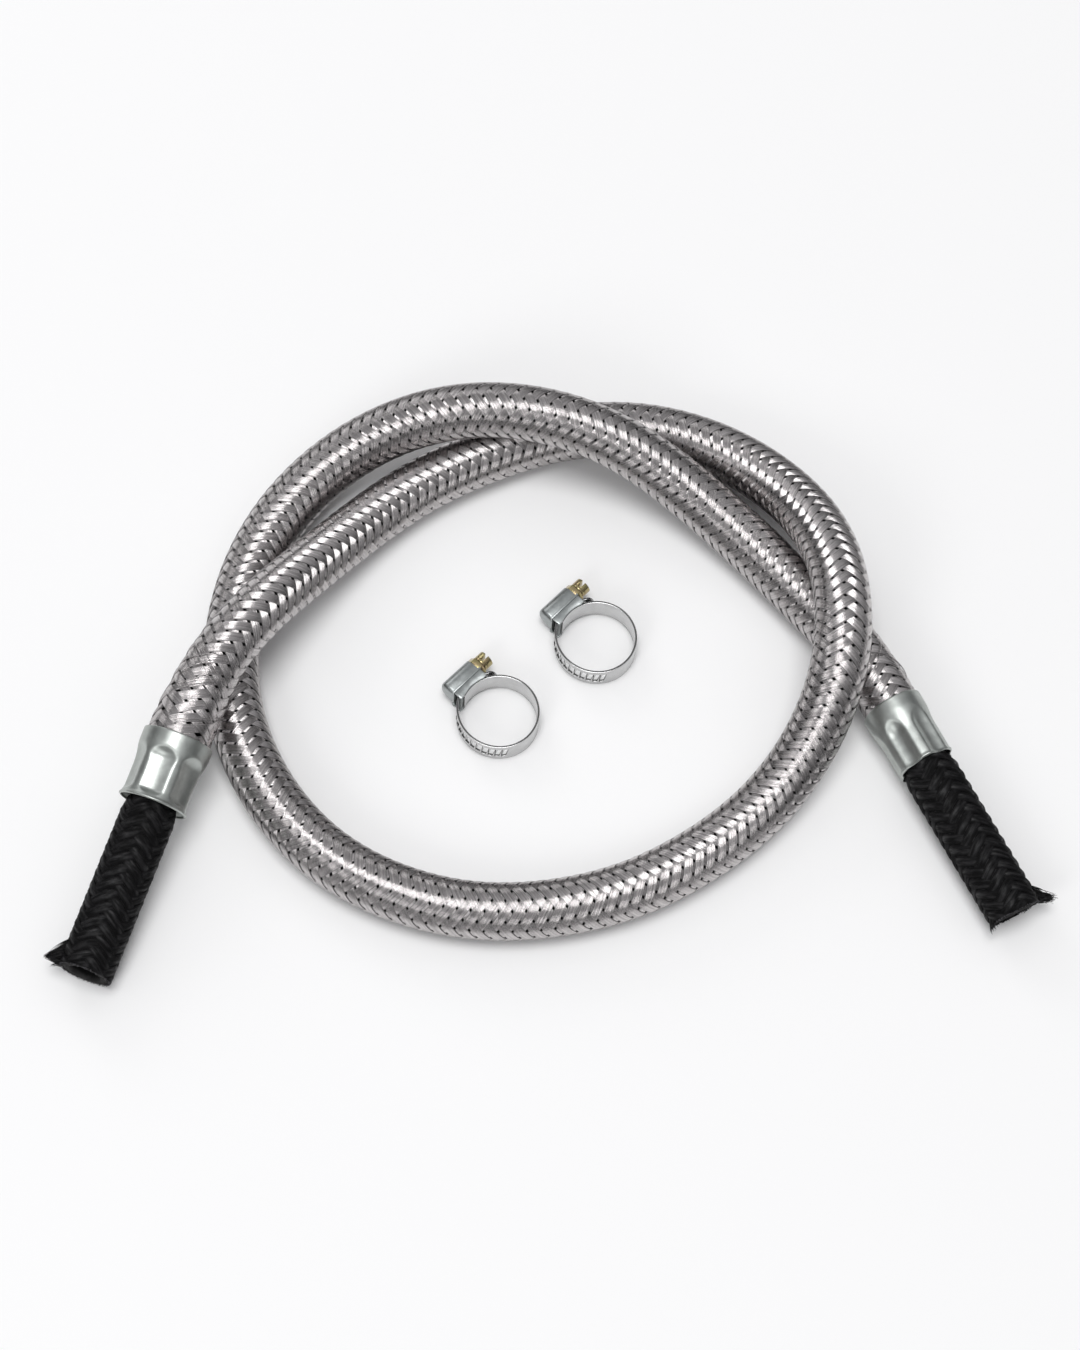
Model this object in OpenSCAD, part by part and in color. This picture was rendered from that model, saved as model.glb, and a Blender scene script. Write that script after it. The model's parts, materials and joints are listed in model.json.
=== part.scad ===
// Steel-braided rubber hose with crimped ferrules, and two loose worm-drive hose clamps.
// Millimetres, +Z up, standing on Z = 0, origin under the middle of the whole set.

/* [Hose] */
// Bore of the rubber liner
hose_bore = 9.5; // [6:0.1:10]
// Wall of the rubber liner
liner_wall = 2.2; // [1:0.1:2.4]
// Wall of the textile cover
cover_wall = 0.75; // [0.5:0.05:0.9]
// Wall of the wire braid, two layers of wire
braid_wall = 0.65; // [0.4:0.05:0.9]
// Length of the braided run between the ferrules
braid_l = 852; // [852:1:980]
// Length of black hose that shows beyond each ferrule
stub_l = 53; // [30:1:80]
// Gap between neighbouring hose layers
layer_gap = 0.05; // [0.02:0.01:0.1]

/* [Ferrules] */
// Length of a ferrule
ferrule_l = 21; // [18:0.5:26]
// Sheet thickness of a ferrule
ferrule_sheet = 0.6; // [0.4:0.05:0.8]
// Length of the plain collar on the braid side
collar_l = 6.5; // [4:0.5:8]
// Length of the step from the collar to the waist
taper_l = 1.5; // [0.5:0.1:2.5]
// Outside diameter of the left collar
left_collar_d = 21; // [20.4:0.1:22]
// Outside diameter of the left waist between its flutes
left_waist_d = 19.4; // [19:0.1:20.2]
// Outside diameter of the left lip
left_lip_d = 20.8; // [20:0.1:22]
// Depth of the left flutes
left_flute_depth = 1; // [0.7:0.05:1.1]
// Outside diameter of the right collar
right_collar_d = 18.6; // [18.4:0.1:20]
// Outside diameter of the right waist between its flutes
right_waist_d = 18.1; // [17.9:0.1:18.3]
// Outside diameter of the right lip
right_lip_d = 18.4; // [18.2:0.1:19]
// Depth of the right flutes
right_flute_depth = 0.55; // [0.35:0.05:0.55]
// Number of crimped flutes round a ferrule
flute_count = 6; // [4:1:8]
// Radius of the crimping tool across a flute
flute_tool_r = 60; // [30:1:80]
// Radius of the crimping tool's rounded end
flute_end_r = 5.5; // [3:0.1:7]
// Turn of the right ferrule's flutes about its axis
right_flute_turn = 36; // [0:1:60]
// Length of the rolled lip at the outer end
lip_l = 2; // [1:0.1:3]
// How far a crimp bites into the wire
crimp_bite = 0.05; // [0.02:0.01:0.1]
// Wall that is left of the braid under a crimp
crimped_wall = 0.45; // [0.3:0.05:0.5]
// How far the braid bulges as it leaves the left ferrule
left_bulge = 1.1; // [0:0.1:1.2]
// How far the braid bulges as it leaves the right ferrule
right_bulge = 0.1; // [0:0.05:0.15]
// Length over which a bulge dies away
bulge_l = 30; // [20:1:32]

/* [Clamp band] */
// Inside diameter of the band at the setting shown
band_bore = 22.4; // [20:0.1:25]
// Width of the band
band_w = 8; // [7:0.1:9]
// Thickness of the band
band_t = 0.6; // [0.4:0.05:0.8]
// Distance from slot to slot, which is the pitch of the worm
slot_pitch = 2; // [1.8:0.05:2.2]
// Width of a slot
slot_w = 1.1; // [0.8:0.05:1.2]
// Length of a slot across the band
slot_l = 4.4; // [3:0.1:5]
// Slant of a slot
slot_slant = 12; // [0:1:16]
// Number of slots that show between the plain band and the housing
band_slots = 12; // [6:1:12]
// How far the free end stands out of the housing
tail_out = 3.5; // [2:0.1:6]

/* [Clamp housing and screw] */
// Length of the housing along the screw
housing_l = 11.2; // [10:0.1:12]
// Sheet thickness of the housing
housing_sheet = 0.9; // [0.6:0.05:1]
// Sheet thickness of the saddle
saddle_sheet = 0.7; // [0.5:0.05:0.8]
// How far the housing's foot stands out past the saddle on each side
foot_ledge = 0.2; // [0.1:0.05:0.4]
// Thickness of the housing's foot
foot_t = 0.6; // [0.4:0.05:0.8]
// Depth of the saddle's side walls
saddle_depth = 2.1; // [1.6:0.05:2.15]
// Rounding of the housing's closed end
housing_round = 2.4; // [1:0.1:3]
// Outside diameter of the worm
worm_d = 5; // [4.4:0.1:5.4]
// Width across flats of the screw's hexagon collar
collar_flats = 5.7; // [5:0.1:6]
// Thickness of the hexagon collar
collar_t = 1.8; // [1.2:0.1:2.4]
// Diameter of the slotted screw head
head_d = 5; // [4:0.1:5.4]
// Height of the slotted screw head
head_l = 3.4; // [2.6:0.1:4]
// Width of the screwdriver slot
driver_w = 1.1; // [0.8:0.1:1.4]
// Depth of the screwdriver slot
driver_depth = 2.2; // [1:0.1:2.4]
// Gap between the sliding strip and what guides it
slip_gap = 0.15; // [0.1:0.01:0.2]
// Running gap round the worm
worm_gap = 0.08; // [0.03:0.01:0.1]

/* [Lay] */
// Compass heading of the left end, seen from above
left_heading = 249.5; // [245:0.5:254]
// Compass heading of the right end, seen from above
right_heading = -63; // [-68:1:-58]
// Turn of both clamps, seen from above
clamp_turn = 46; // [0:1:90]

/* [Hidden] */
$fn = 96;
sides = 12;
rings_per_point = 2;

// Radii of the hose layers
bore_r = hose_bore / 2;
liner_r = bore_r + liner_wall;
cover_in = liner_r + layer_gap;
cover_r = cover_in + cover_wall;
braid_in = cover_r + 2 * layer_gap;
braid_r = braid_in + braid_wall;
end_l = ferrule_l + stub_l;

// A flat side of a ring lies nearer the axis than its corners
flat_share = cos(180 / sides);

// The floor under the inside of each crimp, and the layers that it squeezes
left_crimp_r = left_waist_d / 2 - left_flute_depth - ferrule_sheet + crimp_bite;
right_crimp_r = right_waist_d / 2 - right_flute_depth - ferrule_sheet + crimp_bite;
left_squeezed_r = (left_crimp_r - crimped_wall) * flat_share - layer_gap;
right_squeezed_r = (right_crimp_r - crimped_wall) * flat_share - layer_gap;

// Where the braid enters the ferrules. The left end comes down from the first crossing until its cut
// end meets the surface, and the right end lies on its lip and its cut end.
left_entry_z = 22;
left_slope = asin((left_entry_z - cover_r) / end_l);
right_slope = asin((right_lip_d / 2 - cover_r) / stub_l);
left_entry_xy = [-108, -24];
right_entry_xy = [100, -8];
right_entry_z = right_lip_d / 2 + ferrule_l * sin(right_slope);

// Guide points of the hose from the left ferrule round to the right one, as drawn for a run of drawn_l.
// It lies on the surface, and humps over itself at three crossings.
drawn_l = 852;
drawn_route = [
    [-87, 15, 27], [-74, 33, 17], [-59, 51, 10], [-41, 67, 8.5], [-20, 78, 8.5], [2, 86, 8.5],
    [26, 88, 8.5], [50, 81, 8.5], [69, 66, 12], [81, 46, 20.5], [86, 23, 28], [85, -1, 27],
    [77, -21, 16], [63, -39, 9], [45, -54, 8.5], [24, -66, 8.5], [1, -72, 8.5], [-23, -73, 8.5],
    [-46, -67, 8.5], [-67, -55, 8.5], [-83, -36, 8.5], [-93, -14, 8.5], [-96, 9, 8.5], [-93, 33, 8.5],
    [-84, 55, 8.5], [-68, 73, 11.5], [-47, 83, 18.5], [-24, 85, 25.5], [0, 82, 26.5], [22, 75, 21.5],
    [41, 64, 12.5], [59, 48, 8.5], [75, 30, 8.5]
];
guide_step = 22;

// A longer run lies in a wider loop
lay_stretch = braid_l / drawn_l;
function laid(p) = [p[0] * lay_stretch, p[1] * lay_stretch, p[2]];
left_entry = laid([left_entry_xy[0], left_entry_xy[1], left_entry_z]);
right_entry = laid([right_entry_xy[0], right_entry_xy[1], right_entry_z]);
route = [for (p = drawn_route) laid(p)];

// Where the loose clamps lie
near_clamp_xy = [-15.5, -8.5];
far_clamp_xy = [13.5, 16];

// How deep the braid reaches into a ferrule, and where its squeezed stretch starts
braid_depth = ferrule_l - lip_l - 2;
squeeze_from = collar_l + taper_l;

// The clamp's parts, outwards from the middle of its ring
band_r = band_bore / 2;
band_out_r = band_r + band_t;
saddle_out_r = band_out_r + saddle_sheet;
tail_r = saddle_out_r + slip_gap;
tail_out_r = tail_r + band_t;
foot_y = tail_out_r + slip_gap;
worm_y = foot_y + worm_d / 2;
worm_bore_r = worm_d / 2 + worm_gap;
crown_r = worm_bore_r + housing_sheet;
inner_w = band_w + 2 * slip_gap;
saddle_w = inner_w + 2 * saddle_sheet;
foot_w = saddle_w + 2 * foot_ledge;
mouth_turn = asin(housing_l / 2 / tail_r);

// Angles round the clamp's ring. The strip is divided just inside the housing's mouth, and the loop's
// plain end passes under it there.
strip_in = 4;
plain_in = 6;
strip_break = 0.4;
loop_end = 170;
ramp_from = 215;
ramp_rise = 0.05;
ramp_r = band_r + ramp_rise;
strip_end = 90 + mouth_turn - strip_in;
plain_from = 90 + mouth_turn - plain_in;
tip_fullness = 1.03;
first_slot = 1.4;
ramp_shift = (tail_r - ramp_r) / (1 - cos(ramp_from - strip_end));
slot_turn = slot_pitch / tail_r * 180 / PI;
band_slot_turn = slot_pitch / band_out_r * 180 / PI;
tail_turn = tail_out / tail_r * 180 / PI;
clamp_tilt = atan((foot_w - band_w) / 2 / (foot_y + band_out_r));
clamp_lift = band_out_r * sin(clamp_tilt) + band_w / 2 * cos(clamp_tilt);
reach = 60;

// Hose geometry

function outward(slope, heading) = [cos(heading) * cos(slope), sin(heading) * cos(slope), -sin(slope)];

left_axis = outward(left_slope, left_heading);
right_axis = outward(right_slope, right_heading);

guides = concat(
    [for (k = [1:-1:-1]) left_entry + k * guide_step * left_axis],
    route,
    [for (k = [-1:1:1]) right_entry + k * guide_step * right_axis]
);

// A point of the smooth curve that the guide points pull towards themselves
function curve_point(i, t) =
    (pow(1 - t, 3) * guides[i - 1]
    + (3 * pow(t, 3) - 6 * t * t + 4) * guides[i]
    + (-3 * pow(t, 3) + 3 * t * t + 3 * t + 1) * guides[i + 1]
    + pow(t, 3) * guides[i + 2]) / 6;

function lifted(p) = [p[0], p[1], max(p[2], braid_r)];

run = concat(
    [
        for (i = [1:len(guides) - 3]) for (k = [0:rings_per_point - 1])
            lifted(curve_point(i, k / rings_per_point))
    ],
    [right_entry]
);

function run_length(i) = i == 0 ? 0 : run_length(i - 1) + norm(run[i] - run[i - 1]);
run_at = [for (i = [0:len(run) - 1]) run_length(i)];
run_l = run_at[len(run) - 1];

// The braid swells where it leaves a ferrule
function swell(bulge, d) = d > bulge_l ? 0 : bulge * (1 + cos(180 * d / bulge_l)) / 2;
function braid_outer(i) = braid_r + swell(left_bulge, run_at[i]) + swell(right_bulge, run_l - run_at[i]);

braid_line = concat(
    [left_entry + braid_depth * left_axis, left_entry + squeeze_from * left_axis],
    run,
    [right_entry + squeeze_from * right_axis, right_entry + braid_depth * right_axis]
);
braid_outs = concat(
    [left_crimp_r, left_crimp_r],
    [for (i = [0:len(run) - 1]) braid_outer(i)],
    [right_crimp_r, right_crimp_r]
);
braid_ins = concat(
    [left_crimp_r - crimped_wall, left_crimp_r - crimped_wall],
    [for (i = [0:len(run) - 1]) braid_outer(i) - braid_wall],
    [right_crimp_r - crimped_wall, right_crimp_r - crimped_wall]
);

function unit(v) = v / norm(v);

// The first and last rings stand square to the ends' axes
function heading_at(line, i) =
    i == 0 ? -left_axis : i == len(line) - 1 ? right_axis : unit(line[i + 1] - line[i - 1]);

// A ring of corners round a point of a line, the first corner underneath
function ring(line, i, r) =
    let (t = heading_at(line, i), side = unit(cross([0, 0, 1], t)), up = cross(t, side))
    [for (k = [0:sides - 1]) line[i] + r * (sin(360 * k / sides) * side - cos(360 * k / sides) * up)];

// A hollow tube swept along a line, with an outside and an inside radius for each ring
module swept_tube(line, outs, ins) {
    n = len(line);
    corners = concat(
        [for (i = [0:n - 1]) each ring(line, i, outs[i])],
        [for (i = [0:n - 1]) each ring(line, i, ins[i])]
    );
    inner = n * sides;
    last = (n - 1) * sides;
    walls = [
        for (i = [0:n - 2]) for (k = [0:sides - 1])
            let (a = i * sides + k, b = i * sides + (k + 1) % sides, c = b + sides, d = a + sides)
            each [[a, c, b], [a, d, c], [inner + a, inner + b, inner + c], [inner + a, inner + c, inner + d]]
    ];
    caps = [
        for (k = [0:sides - 1])
            let (a = k, b = (k + 1) % sides)
            each [
                [a, b, inner + b], [a, inner + b, inner + a],
                [last + a, last + inner + b, last + b], [last + a, last + inner + a, last + inner + b]
            ]
    ];
    polyhedron(corners, concat(walls, caps));
}

module at_left_end() {
    translate(left_entry) rotate([0, 90 + left_slope, left_heading]) children();
}

module at_right_end() {
    translate(right_entry) rotate([0, 90 + right_slope, right_heading]) children();
}

module pipe(outer, inner, from, to) {
    translate([0, 0, from]) difference() {
        cylinder(r = outer, h = to - from);
        translate([0, 0, -1]) cylinder(r = inner, h = to - from + 2);
    }
}

// The tool that presses one flute: a broad rod with a rounded end, square at the lip
module flute_tool(inset, waist_r, depth) {
    tool_r = flute_tool_r + inset;
    end_r = flute_end_r + inset;
    arch_l = sqrt(2 * flute_end_r * depth);
    straight_l = ferrule_l - lip_l - squeeze_from - arch_l + inset;
    translate([waist_r - depth + flute_tool_r, 0, squeeze_from + arch_l])
    rotate_extrude() intersection() {
        union() {
            square([tool_r, straight_l]);
            translate([flute_tool_r - flute_end_r, 0]) circle(r = end_r);
            translate([0, -end_r]) square([flute_tool_r - flute_end_r, end_r]);
        }
        translate([0, -end_r]) square([tool_r, end_r + straight_l]);
    }
}

// The filled form of a ferrule, drawn in by inset and run past both ends by over
module ferrule_form(inset, over, collar_r, waist_r, lip_r, depth) {
    difference() {
        rotate_extrude() polygon([
            [0, -over],
            [collar_r - inset, -over],
            [collar_r - inset, collar_l],
            [waist_r - inset, squeeze_from],
            [waist_r - inset, ferrule_l - lip_l],
            [lip_r - inset, ferrule_l - lip_l / 2],
            [lip_r - inset, ferrule_l + over],
            [0, ferrule_l + over]
        ]);
        for (k = [0:flute_count - 1]) rotate(360 * k / flute_count) flute_tool(inset, waist_r, depth);
    }
}

module ferrule(collar_d, waist_d, lip_d, depth) {
    difference() {
        ferrule_form(0, 0, collar_d / 2, waist_d / 2, lip_d / 2, depth);
        ferrule_form(ferrule_sheet, 1, collar_d / 2, waist_d / 2, lip_d / 2, depth);
    }
}

module cover_end(squeezed_r) {
    pipe(squeezed_r, cover_in, 0, ferrule_l);
    pipe(cover_r, cover_in, ferrule_l, end_l);
}

module left_hose_liner() color("dimgray") at_left_end() pipe(liner_r, bore_r, 0, end_l);

module right_hose_liner() color("dimgray") at_right_end() pipe(liner_r, bore_r, 0, end_l);

module left_hose_cover() color([0.1, 0.1, 0.11]) at_left_end() cover_end(left_squeezed_r);

module right_hose_cover() color([0.1, 0.1, 0.11]) at_right_end() cover_end(right_squeezed_r);

module left_ferrule() {
    color([0.72, 0.75, 0.73]) at_left_end()
        ferrule(left_collar_d, left_waist_d, left_lip_d, left_flute_depth);
}

module right_ferrule() {
    color([0.72, 0.75, 0.73]) at_right_end() rotate(right_flute_turn)
        ferrule(right_collar_d, right_waist_d, right_lip_d, right_flute_depth);
}

module hose_liner() {
    color("dimgray")
        swept_tube(run, [for (p = run) liner_r], [for (p = run) bore_r]);
}

module hose_cover() {
    color([0.1, 0.1, 0.11])
        swept_tube(run, [for (p = run) cover_r], [for (p = run) cover_in]);
}

module steel_braid() color([0.68, 0.66, 0.66]) swept_tube(braid_line, braid_outs, braid_ins);

// Clamp geometry: the ring lies round Z, the screw points along +X on the +Y side

module at_clamp(place) {
    translate([place[0], place[1], clamp_lift])
        rotate([0, 0, clamp_turn]) rotate([clamp_tilt, 0, 0]) children();
}

// A stretch of a ring, turned anticlockwise from one angle to another
module hoop(inner, outer, width, from, to) {
    rotate(from) rotate_extrude(angle = to - from)
        translate([inner, -width / 2]) square([outer - inner, width]);
}

module strip_slot(turn) {
    rotate(turn) translate([band_r - 1, 0, 0]) rotate([slot_slant, 0, 0])
        translate([0, -slot_w / 2, -slot_l / 2]) square_bar();
}

module square_bar() cube([tail_out_r - band_r + 2, slot_w, slot_l]);

// A flat wedge from the middle of the ring, turned anticlockwise from one angle to another
module wedge(from, to) {
    rim = [for (k = [0:4]) from + k * (to - from) / 4];
    polygon(concat([[0, 0]], [for (turn = rim) reach * [cos(turn), sin(turn)]]));
}

module ring_section(inner, outer) {
    difference() {
        circle(r = outer);
        circle(r = inner);
    }
}

// The band: a plain loop, then a ramp that climbs over its own start into the housing's mouth
module clamp_band() {
    color([0.82, 0.82, 0.82]) difference() {
        translate([0, 0, -band_w / 2]) linear_extrude(band_w) union() {
            difference() {
                ring_section(band_r, band_out_r);
                wedge(plain_from, loop_end);
            }
            intersection() {
                translate([-ramp_shift * cos(ramp_from), -ramp_shift * sin(ramp_from)])
                    ring_section(ramp_r + ramp_shift, ramp_r + band_t + ramp_shift);
                wedge(strip_end, ramp_from);
            }
        }
        for (k = [0:band_slots - 1]) strip_slot(strip_end + (k + first_slot) * band_slot_turn);
    }
}

// The free end of the band, from just inside the mouth to its rounded tip
module clamp_tail() {
    tip_at = 90 - mouth_turn - tail_turn;
    tail_from = strip_end - strip_break;
    slots = floor((tail_from - tip_at) / slot_turn) - 1;
    color([0.82, 0.82, 0.82]) difference() {
        hoop(tail_r, tail_out_r, band_w, tip_at, tail_from);
        for (k = [1:slots]) strip_slot(tail_from - (k - 0.5) * slot_turn);
        rotate(tip_at) difference() {
            translate([tail_r - 1, -1, -band_w]) cube([band_t + 2, band_w / 2 + 1, 2 * band_w]);
            translate([0, band_w / 2, 0]) rotate([0, 90, 0])
                cylinder(r = band_w / 2 * tip_fullness, h = reach);
        }
    }
}

// The saddle on the band's fixed end: a curved plate with a side wall along each edge of the band
module clamp_saddle() {
    plate_turn = asin((housing_l / 2 - slip_gap) / saddle_out_r);
    wall_l = housing_l - 2 * slip_gap;
    color([0.7, 0.73, 0.76]) {
        hoop(band_out_r, saddle_out_r, inner_w + saddle_sheet, 90 - plate_turn, 90 + plate_turn);
        for (side = [-1, 1])
            translate([0, foot_y - saddle_depth, side * (inner_w + saddle_sheet) / 2 - saddle_sheet / 2])
            linear_extrude(saddle_sheet) union() {
                translate([-wall_l / 2, saddle_sheet]) square([wall_l, saddle_depth - saddle_sheet]);
                translate([-wall_l / 2 + saddle_sheet, 0])
                    square([wall_l - 2 * saddle_sheet, 2 * saddle_sheet]);
                for (end = [-1, 1])
                    translate([end * (wall_l / 2 - saddle_sheet), saddle_sheet]) circle(r = saddle_sheet);
            }
    }
}

// The outline of the housing across the screw
module housing_section() {
    translate([worm_y, 0]) circle(r = crown_r);
    translate([foot_y, -crown_r]) square([worm_y - foot_y, 2 * crown_r]);
    translate([foot_y, -foot_w / 2]) square([foot_t, foot_w]);
}

// The outline of the housing from the side, with its closed end rounded
module housing_side() {
    top = worm_y + crown_r;
    translate([-housing_l / 2 + housing_round, foot_y]) square([housing_l - housing_round, top - foot_y]);
    translate([-housing_l / 2, foot_y]) square([housing_l, top - foot_y - housing_round]);
    translate([-housing_l / 2 + housing_round, top - housing_round]) circle(r = housing_round);
}

module clamp_housing() {
    color([0.7, 0.73, 0.76]) difference() {
        intersection() {
            translate([-housing_l / 2, 0, 0]) rotate([0, 90, 0]) rotate(90) mirror([0, 1, 0])
                linear_extrude(housing_l) housing_section();
            translate([0, 0, -foot_w]) linear_extrude(2 * foot_w) housing_side();
        }
        translate([-housing_l / 2 + housing_sheet, worm_y, 0]) rotate([0, 90, 0])
            cylinder(r = worm_bore_r, h = housing_l);
    }
}

// The screw: the worm's envelope, a hexagon collar and a slotted head
module clamp_screw() {
    collar_x = housing_l / 2 + slip_gap;
    head_x = collar_x + collar_t;
    start_x = -housing_l / 2 + housing_sheet + slip_gap;
    color([0.72, 0.6, 0.32]) translate([0, worm_y, 0]) rotate([0, 90, 0]) difference() {
        union() {
            translate([0, 0, start_x]) cylinder(r = worm_d / 2, h = collar_x - start_x);
            translate([0, 0, collar_x]) cylinder(r = collar_flats / sqrt(3), h = collar_t, $fn = 6);
            translate([0, 0, head_x]) cylinder(r = head_d / 2, h = head_l);
        }
        translate([-head_d, -driver_w / 2, head_x + head_l - driver_depth])
            cube([2 * head_d, driver_w, driver_depth + 1]);
    }
}

left_hose_liner();
left_hose_cover();
left_ferrule();
hose_liner();
hose_cover();
steel_braid();
right_ferrule();
right_hose_cover();
right_hose_liner();
at_clamp(near_clamp_xy) clamp_band();  // near_clamp_band
at_clamp(near_clamp_xy) clamp_tail();  // near_clamp_tail
at_clamp(near_clamp_xy) clamp_saddle();  // near_clamp_saddle
at_clamp(near_clamp_xy) clamp_housing();  // near_clamp_housing
at_clamp(near_clamp_xy) clamp_screw();  // near_clamp_screw
at_clamp(far_clamp_xy) clamp_band();  // far_clamp_band
at_clamp(far_clamp_xy) clamp_tail();  // far_clamp_tail
at_clamp(far_clamp_xy) clamp_saddle();  // far_clamp_saddle
at_clamp(far_clamp_xy) clamp_housing();  // far_clamp_housing
at_clamp(far_clamp_xy) clamp_screw();  // far_clamp_screw
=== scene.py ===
"""The looks of a steel-braided hose and its two hose clamps, built round their packed solids."""

import json
import math
import random

import bmesh
import bpy
import numpy as np
from bpy.props import FloatProperty, FloatVectorProperty, IntProperty, PointerProperty
from mathutils import Matrix, Vector
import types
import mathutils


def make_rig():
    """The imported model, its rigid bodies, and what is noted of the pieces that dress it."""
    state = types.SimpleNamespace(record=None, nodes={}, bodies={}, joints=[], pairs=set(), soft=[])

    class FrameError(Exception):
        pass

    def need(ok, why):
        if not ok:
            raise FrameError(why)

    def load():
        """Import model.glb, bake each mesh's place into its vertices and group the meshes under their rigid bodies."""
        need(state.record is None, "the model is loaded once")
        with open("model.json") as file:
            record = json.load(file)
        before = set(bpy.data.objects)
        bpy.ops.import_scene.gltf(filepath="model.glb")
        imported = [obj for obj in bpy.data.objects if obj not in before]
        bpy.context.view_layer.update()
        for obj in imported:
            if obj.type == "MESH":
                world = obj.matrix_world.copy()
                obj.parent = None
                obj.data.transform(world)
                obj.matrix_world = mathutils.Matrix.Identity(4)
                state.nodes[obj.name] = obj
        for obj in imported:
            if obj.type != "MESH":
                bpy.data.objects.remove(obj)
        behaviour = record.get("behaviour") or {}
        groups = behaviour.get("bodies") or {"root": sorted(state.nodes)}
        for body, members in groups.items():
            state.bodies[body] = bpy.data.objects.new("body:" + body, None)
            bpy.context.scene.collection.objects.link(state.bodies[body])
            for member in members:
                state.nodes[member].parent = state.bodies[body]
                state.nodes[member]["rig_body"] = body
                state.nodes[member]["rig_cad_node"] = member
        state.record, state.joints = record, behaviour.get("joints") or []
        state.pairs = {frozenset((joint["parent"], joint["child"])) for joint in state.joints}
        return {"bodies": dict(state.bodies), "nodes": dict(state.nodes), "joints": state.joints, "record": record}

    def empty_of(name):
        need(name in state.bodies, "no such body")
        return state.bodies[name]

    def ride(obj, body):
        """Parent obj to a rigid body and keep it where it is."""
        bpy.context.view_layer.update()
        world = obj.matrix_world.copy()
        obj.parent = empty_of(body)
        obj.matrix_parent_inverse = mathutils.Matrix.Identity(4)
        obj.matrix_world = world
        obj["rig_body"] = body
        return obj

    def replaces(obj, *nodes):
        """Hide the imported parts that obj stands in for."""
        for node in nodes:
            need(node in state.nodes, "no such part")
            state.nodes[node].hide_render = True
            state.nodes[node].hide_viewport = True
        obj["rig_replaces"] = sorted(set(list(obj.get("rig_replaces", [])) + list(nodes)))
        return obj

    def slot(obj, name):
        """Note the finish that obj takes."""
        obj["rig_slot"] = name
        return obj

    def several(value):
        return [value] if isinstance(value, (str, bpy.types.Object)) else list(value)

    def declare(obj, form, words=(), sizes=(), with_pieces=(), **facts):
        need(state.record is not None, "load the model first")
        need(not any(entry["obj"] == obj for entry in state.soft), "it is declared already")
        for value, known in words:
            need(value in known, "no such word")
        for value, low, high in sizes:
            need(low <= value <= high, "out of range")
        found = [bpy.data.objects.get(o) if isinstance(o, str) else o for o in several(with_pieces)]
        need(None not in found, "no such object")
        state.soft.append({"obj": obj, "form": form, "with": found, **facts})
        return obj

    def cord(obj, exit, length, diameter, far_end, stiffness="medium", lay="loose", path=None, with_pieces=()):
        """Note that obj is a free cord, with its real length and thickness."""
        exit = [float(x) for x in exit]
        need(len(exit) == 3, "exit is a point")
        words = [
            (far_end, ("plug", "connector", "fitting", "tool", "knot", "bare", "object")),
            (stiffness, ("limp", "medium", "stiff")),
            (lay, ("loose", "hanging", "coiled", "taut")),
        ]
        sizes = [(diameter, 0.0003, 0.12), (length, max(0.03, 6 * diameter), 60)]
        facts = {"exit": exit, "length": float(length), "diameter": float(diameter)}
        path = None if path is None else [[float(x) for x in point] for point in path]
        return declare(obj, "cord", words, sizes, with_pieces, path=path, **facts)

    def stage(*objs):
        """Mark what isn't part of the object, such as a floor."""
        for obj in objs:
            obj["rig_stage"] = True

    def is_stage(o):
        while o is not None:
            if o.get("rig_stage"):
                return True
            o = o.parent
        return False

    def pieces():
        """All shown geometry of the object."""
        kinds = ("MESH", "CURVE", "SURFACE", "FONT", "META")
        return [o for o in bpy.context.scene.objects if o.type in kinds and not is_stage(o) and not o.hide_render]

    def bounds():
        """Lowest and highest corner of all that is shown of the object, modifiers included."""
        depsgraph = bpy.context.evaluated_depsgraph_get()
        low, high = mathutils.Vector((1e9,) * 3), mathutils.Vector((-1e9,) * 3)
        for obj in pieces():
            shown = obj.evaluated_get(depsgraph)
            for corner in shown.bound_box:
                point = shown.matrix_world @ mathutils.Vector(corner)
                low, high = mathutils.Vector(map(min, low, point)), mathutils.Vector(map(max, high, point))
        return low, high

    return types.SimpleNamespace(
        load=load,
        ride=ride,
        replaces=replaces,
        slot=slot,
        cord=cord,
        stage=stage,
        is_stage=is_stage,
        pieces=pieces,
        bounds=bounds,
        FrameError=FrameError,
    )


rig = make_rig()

bl_info = {
    "name": "Braided Hose with Clamps",
    "version": (1, 0, 0),
    "blender": (4, 5, 0),
    "location": "3D View > Sidebar > Hose",
    "description": "Makes a steel-braided hose with crimped ferrules and two worm-drive clamps",
    "category": "Add Mesh",
}

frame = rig.load()
CAD_BOX = [list(corner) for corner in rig.bounds()]
MOUNTS = {mount["name"]: mount for mount in frame["record"]["mounts"]}
JOINTS = {joint["name"]: joint for joint in frame["joints"]}
MM = 0.001
UP = np.array((0.0, 0.0, 1.0))
TURN = 2 * math.pi
MERGE = 1e-7  # points closer than this are joined
NEAR = 1e-6  # points closer than this to a plane lie in it
SIDES = ("left", "right")
CLAMPS = ("near", "far")

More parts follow.
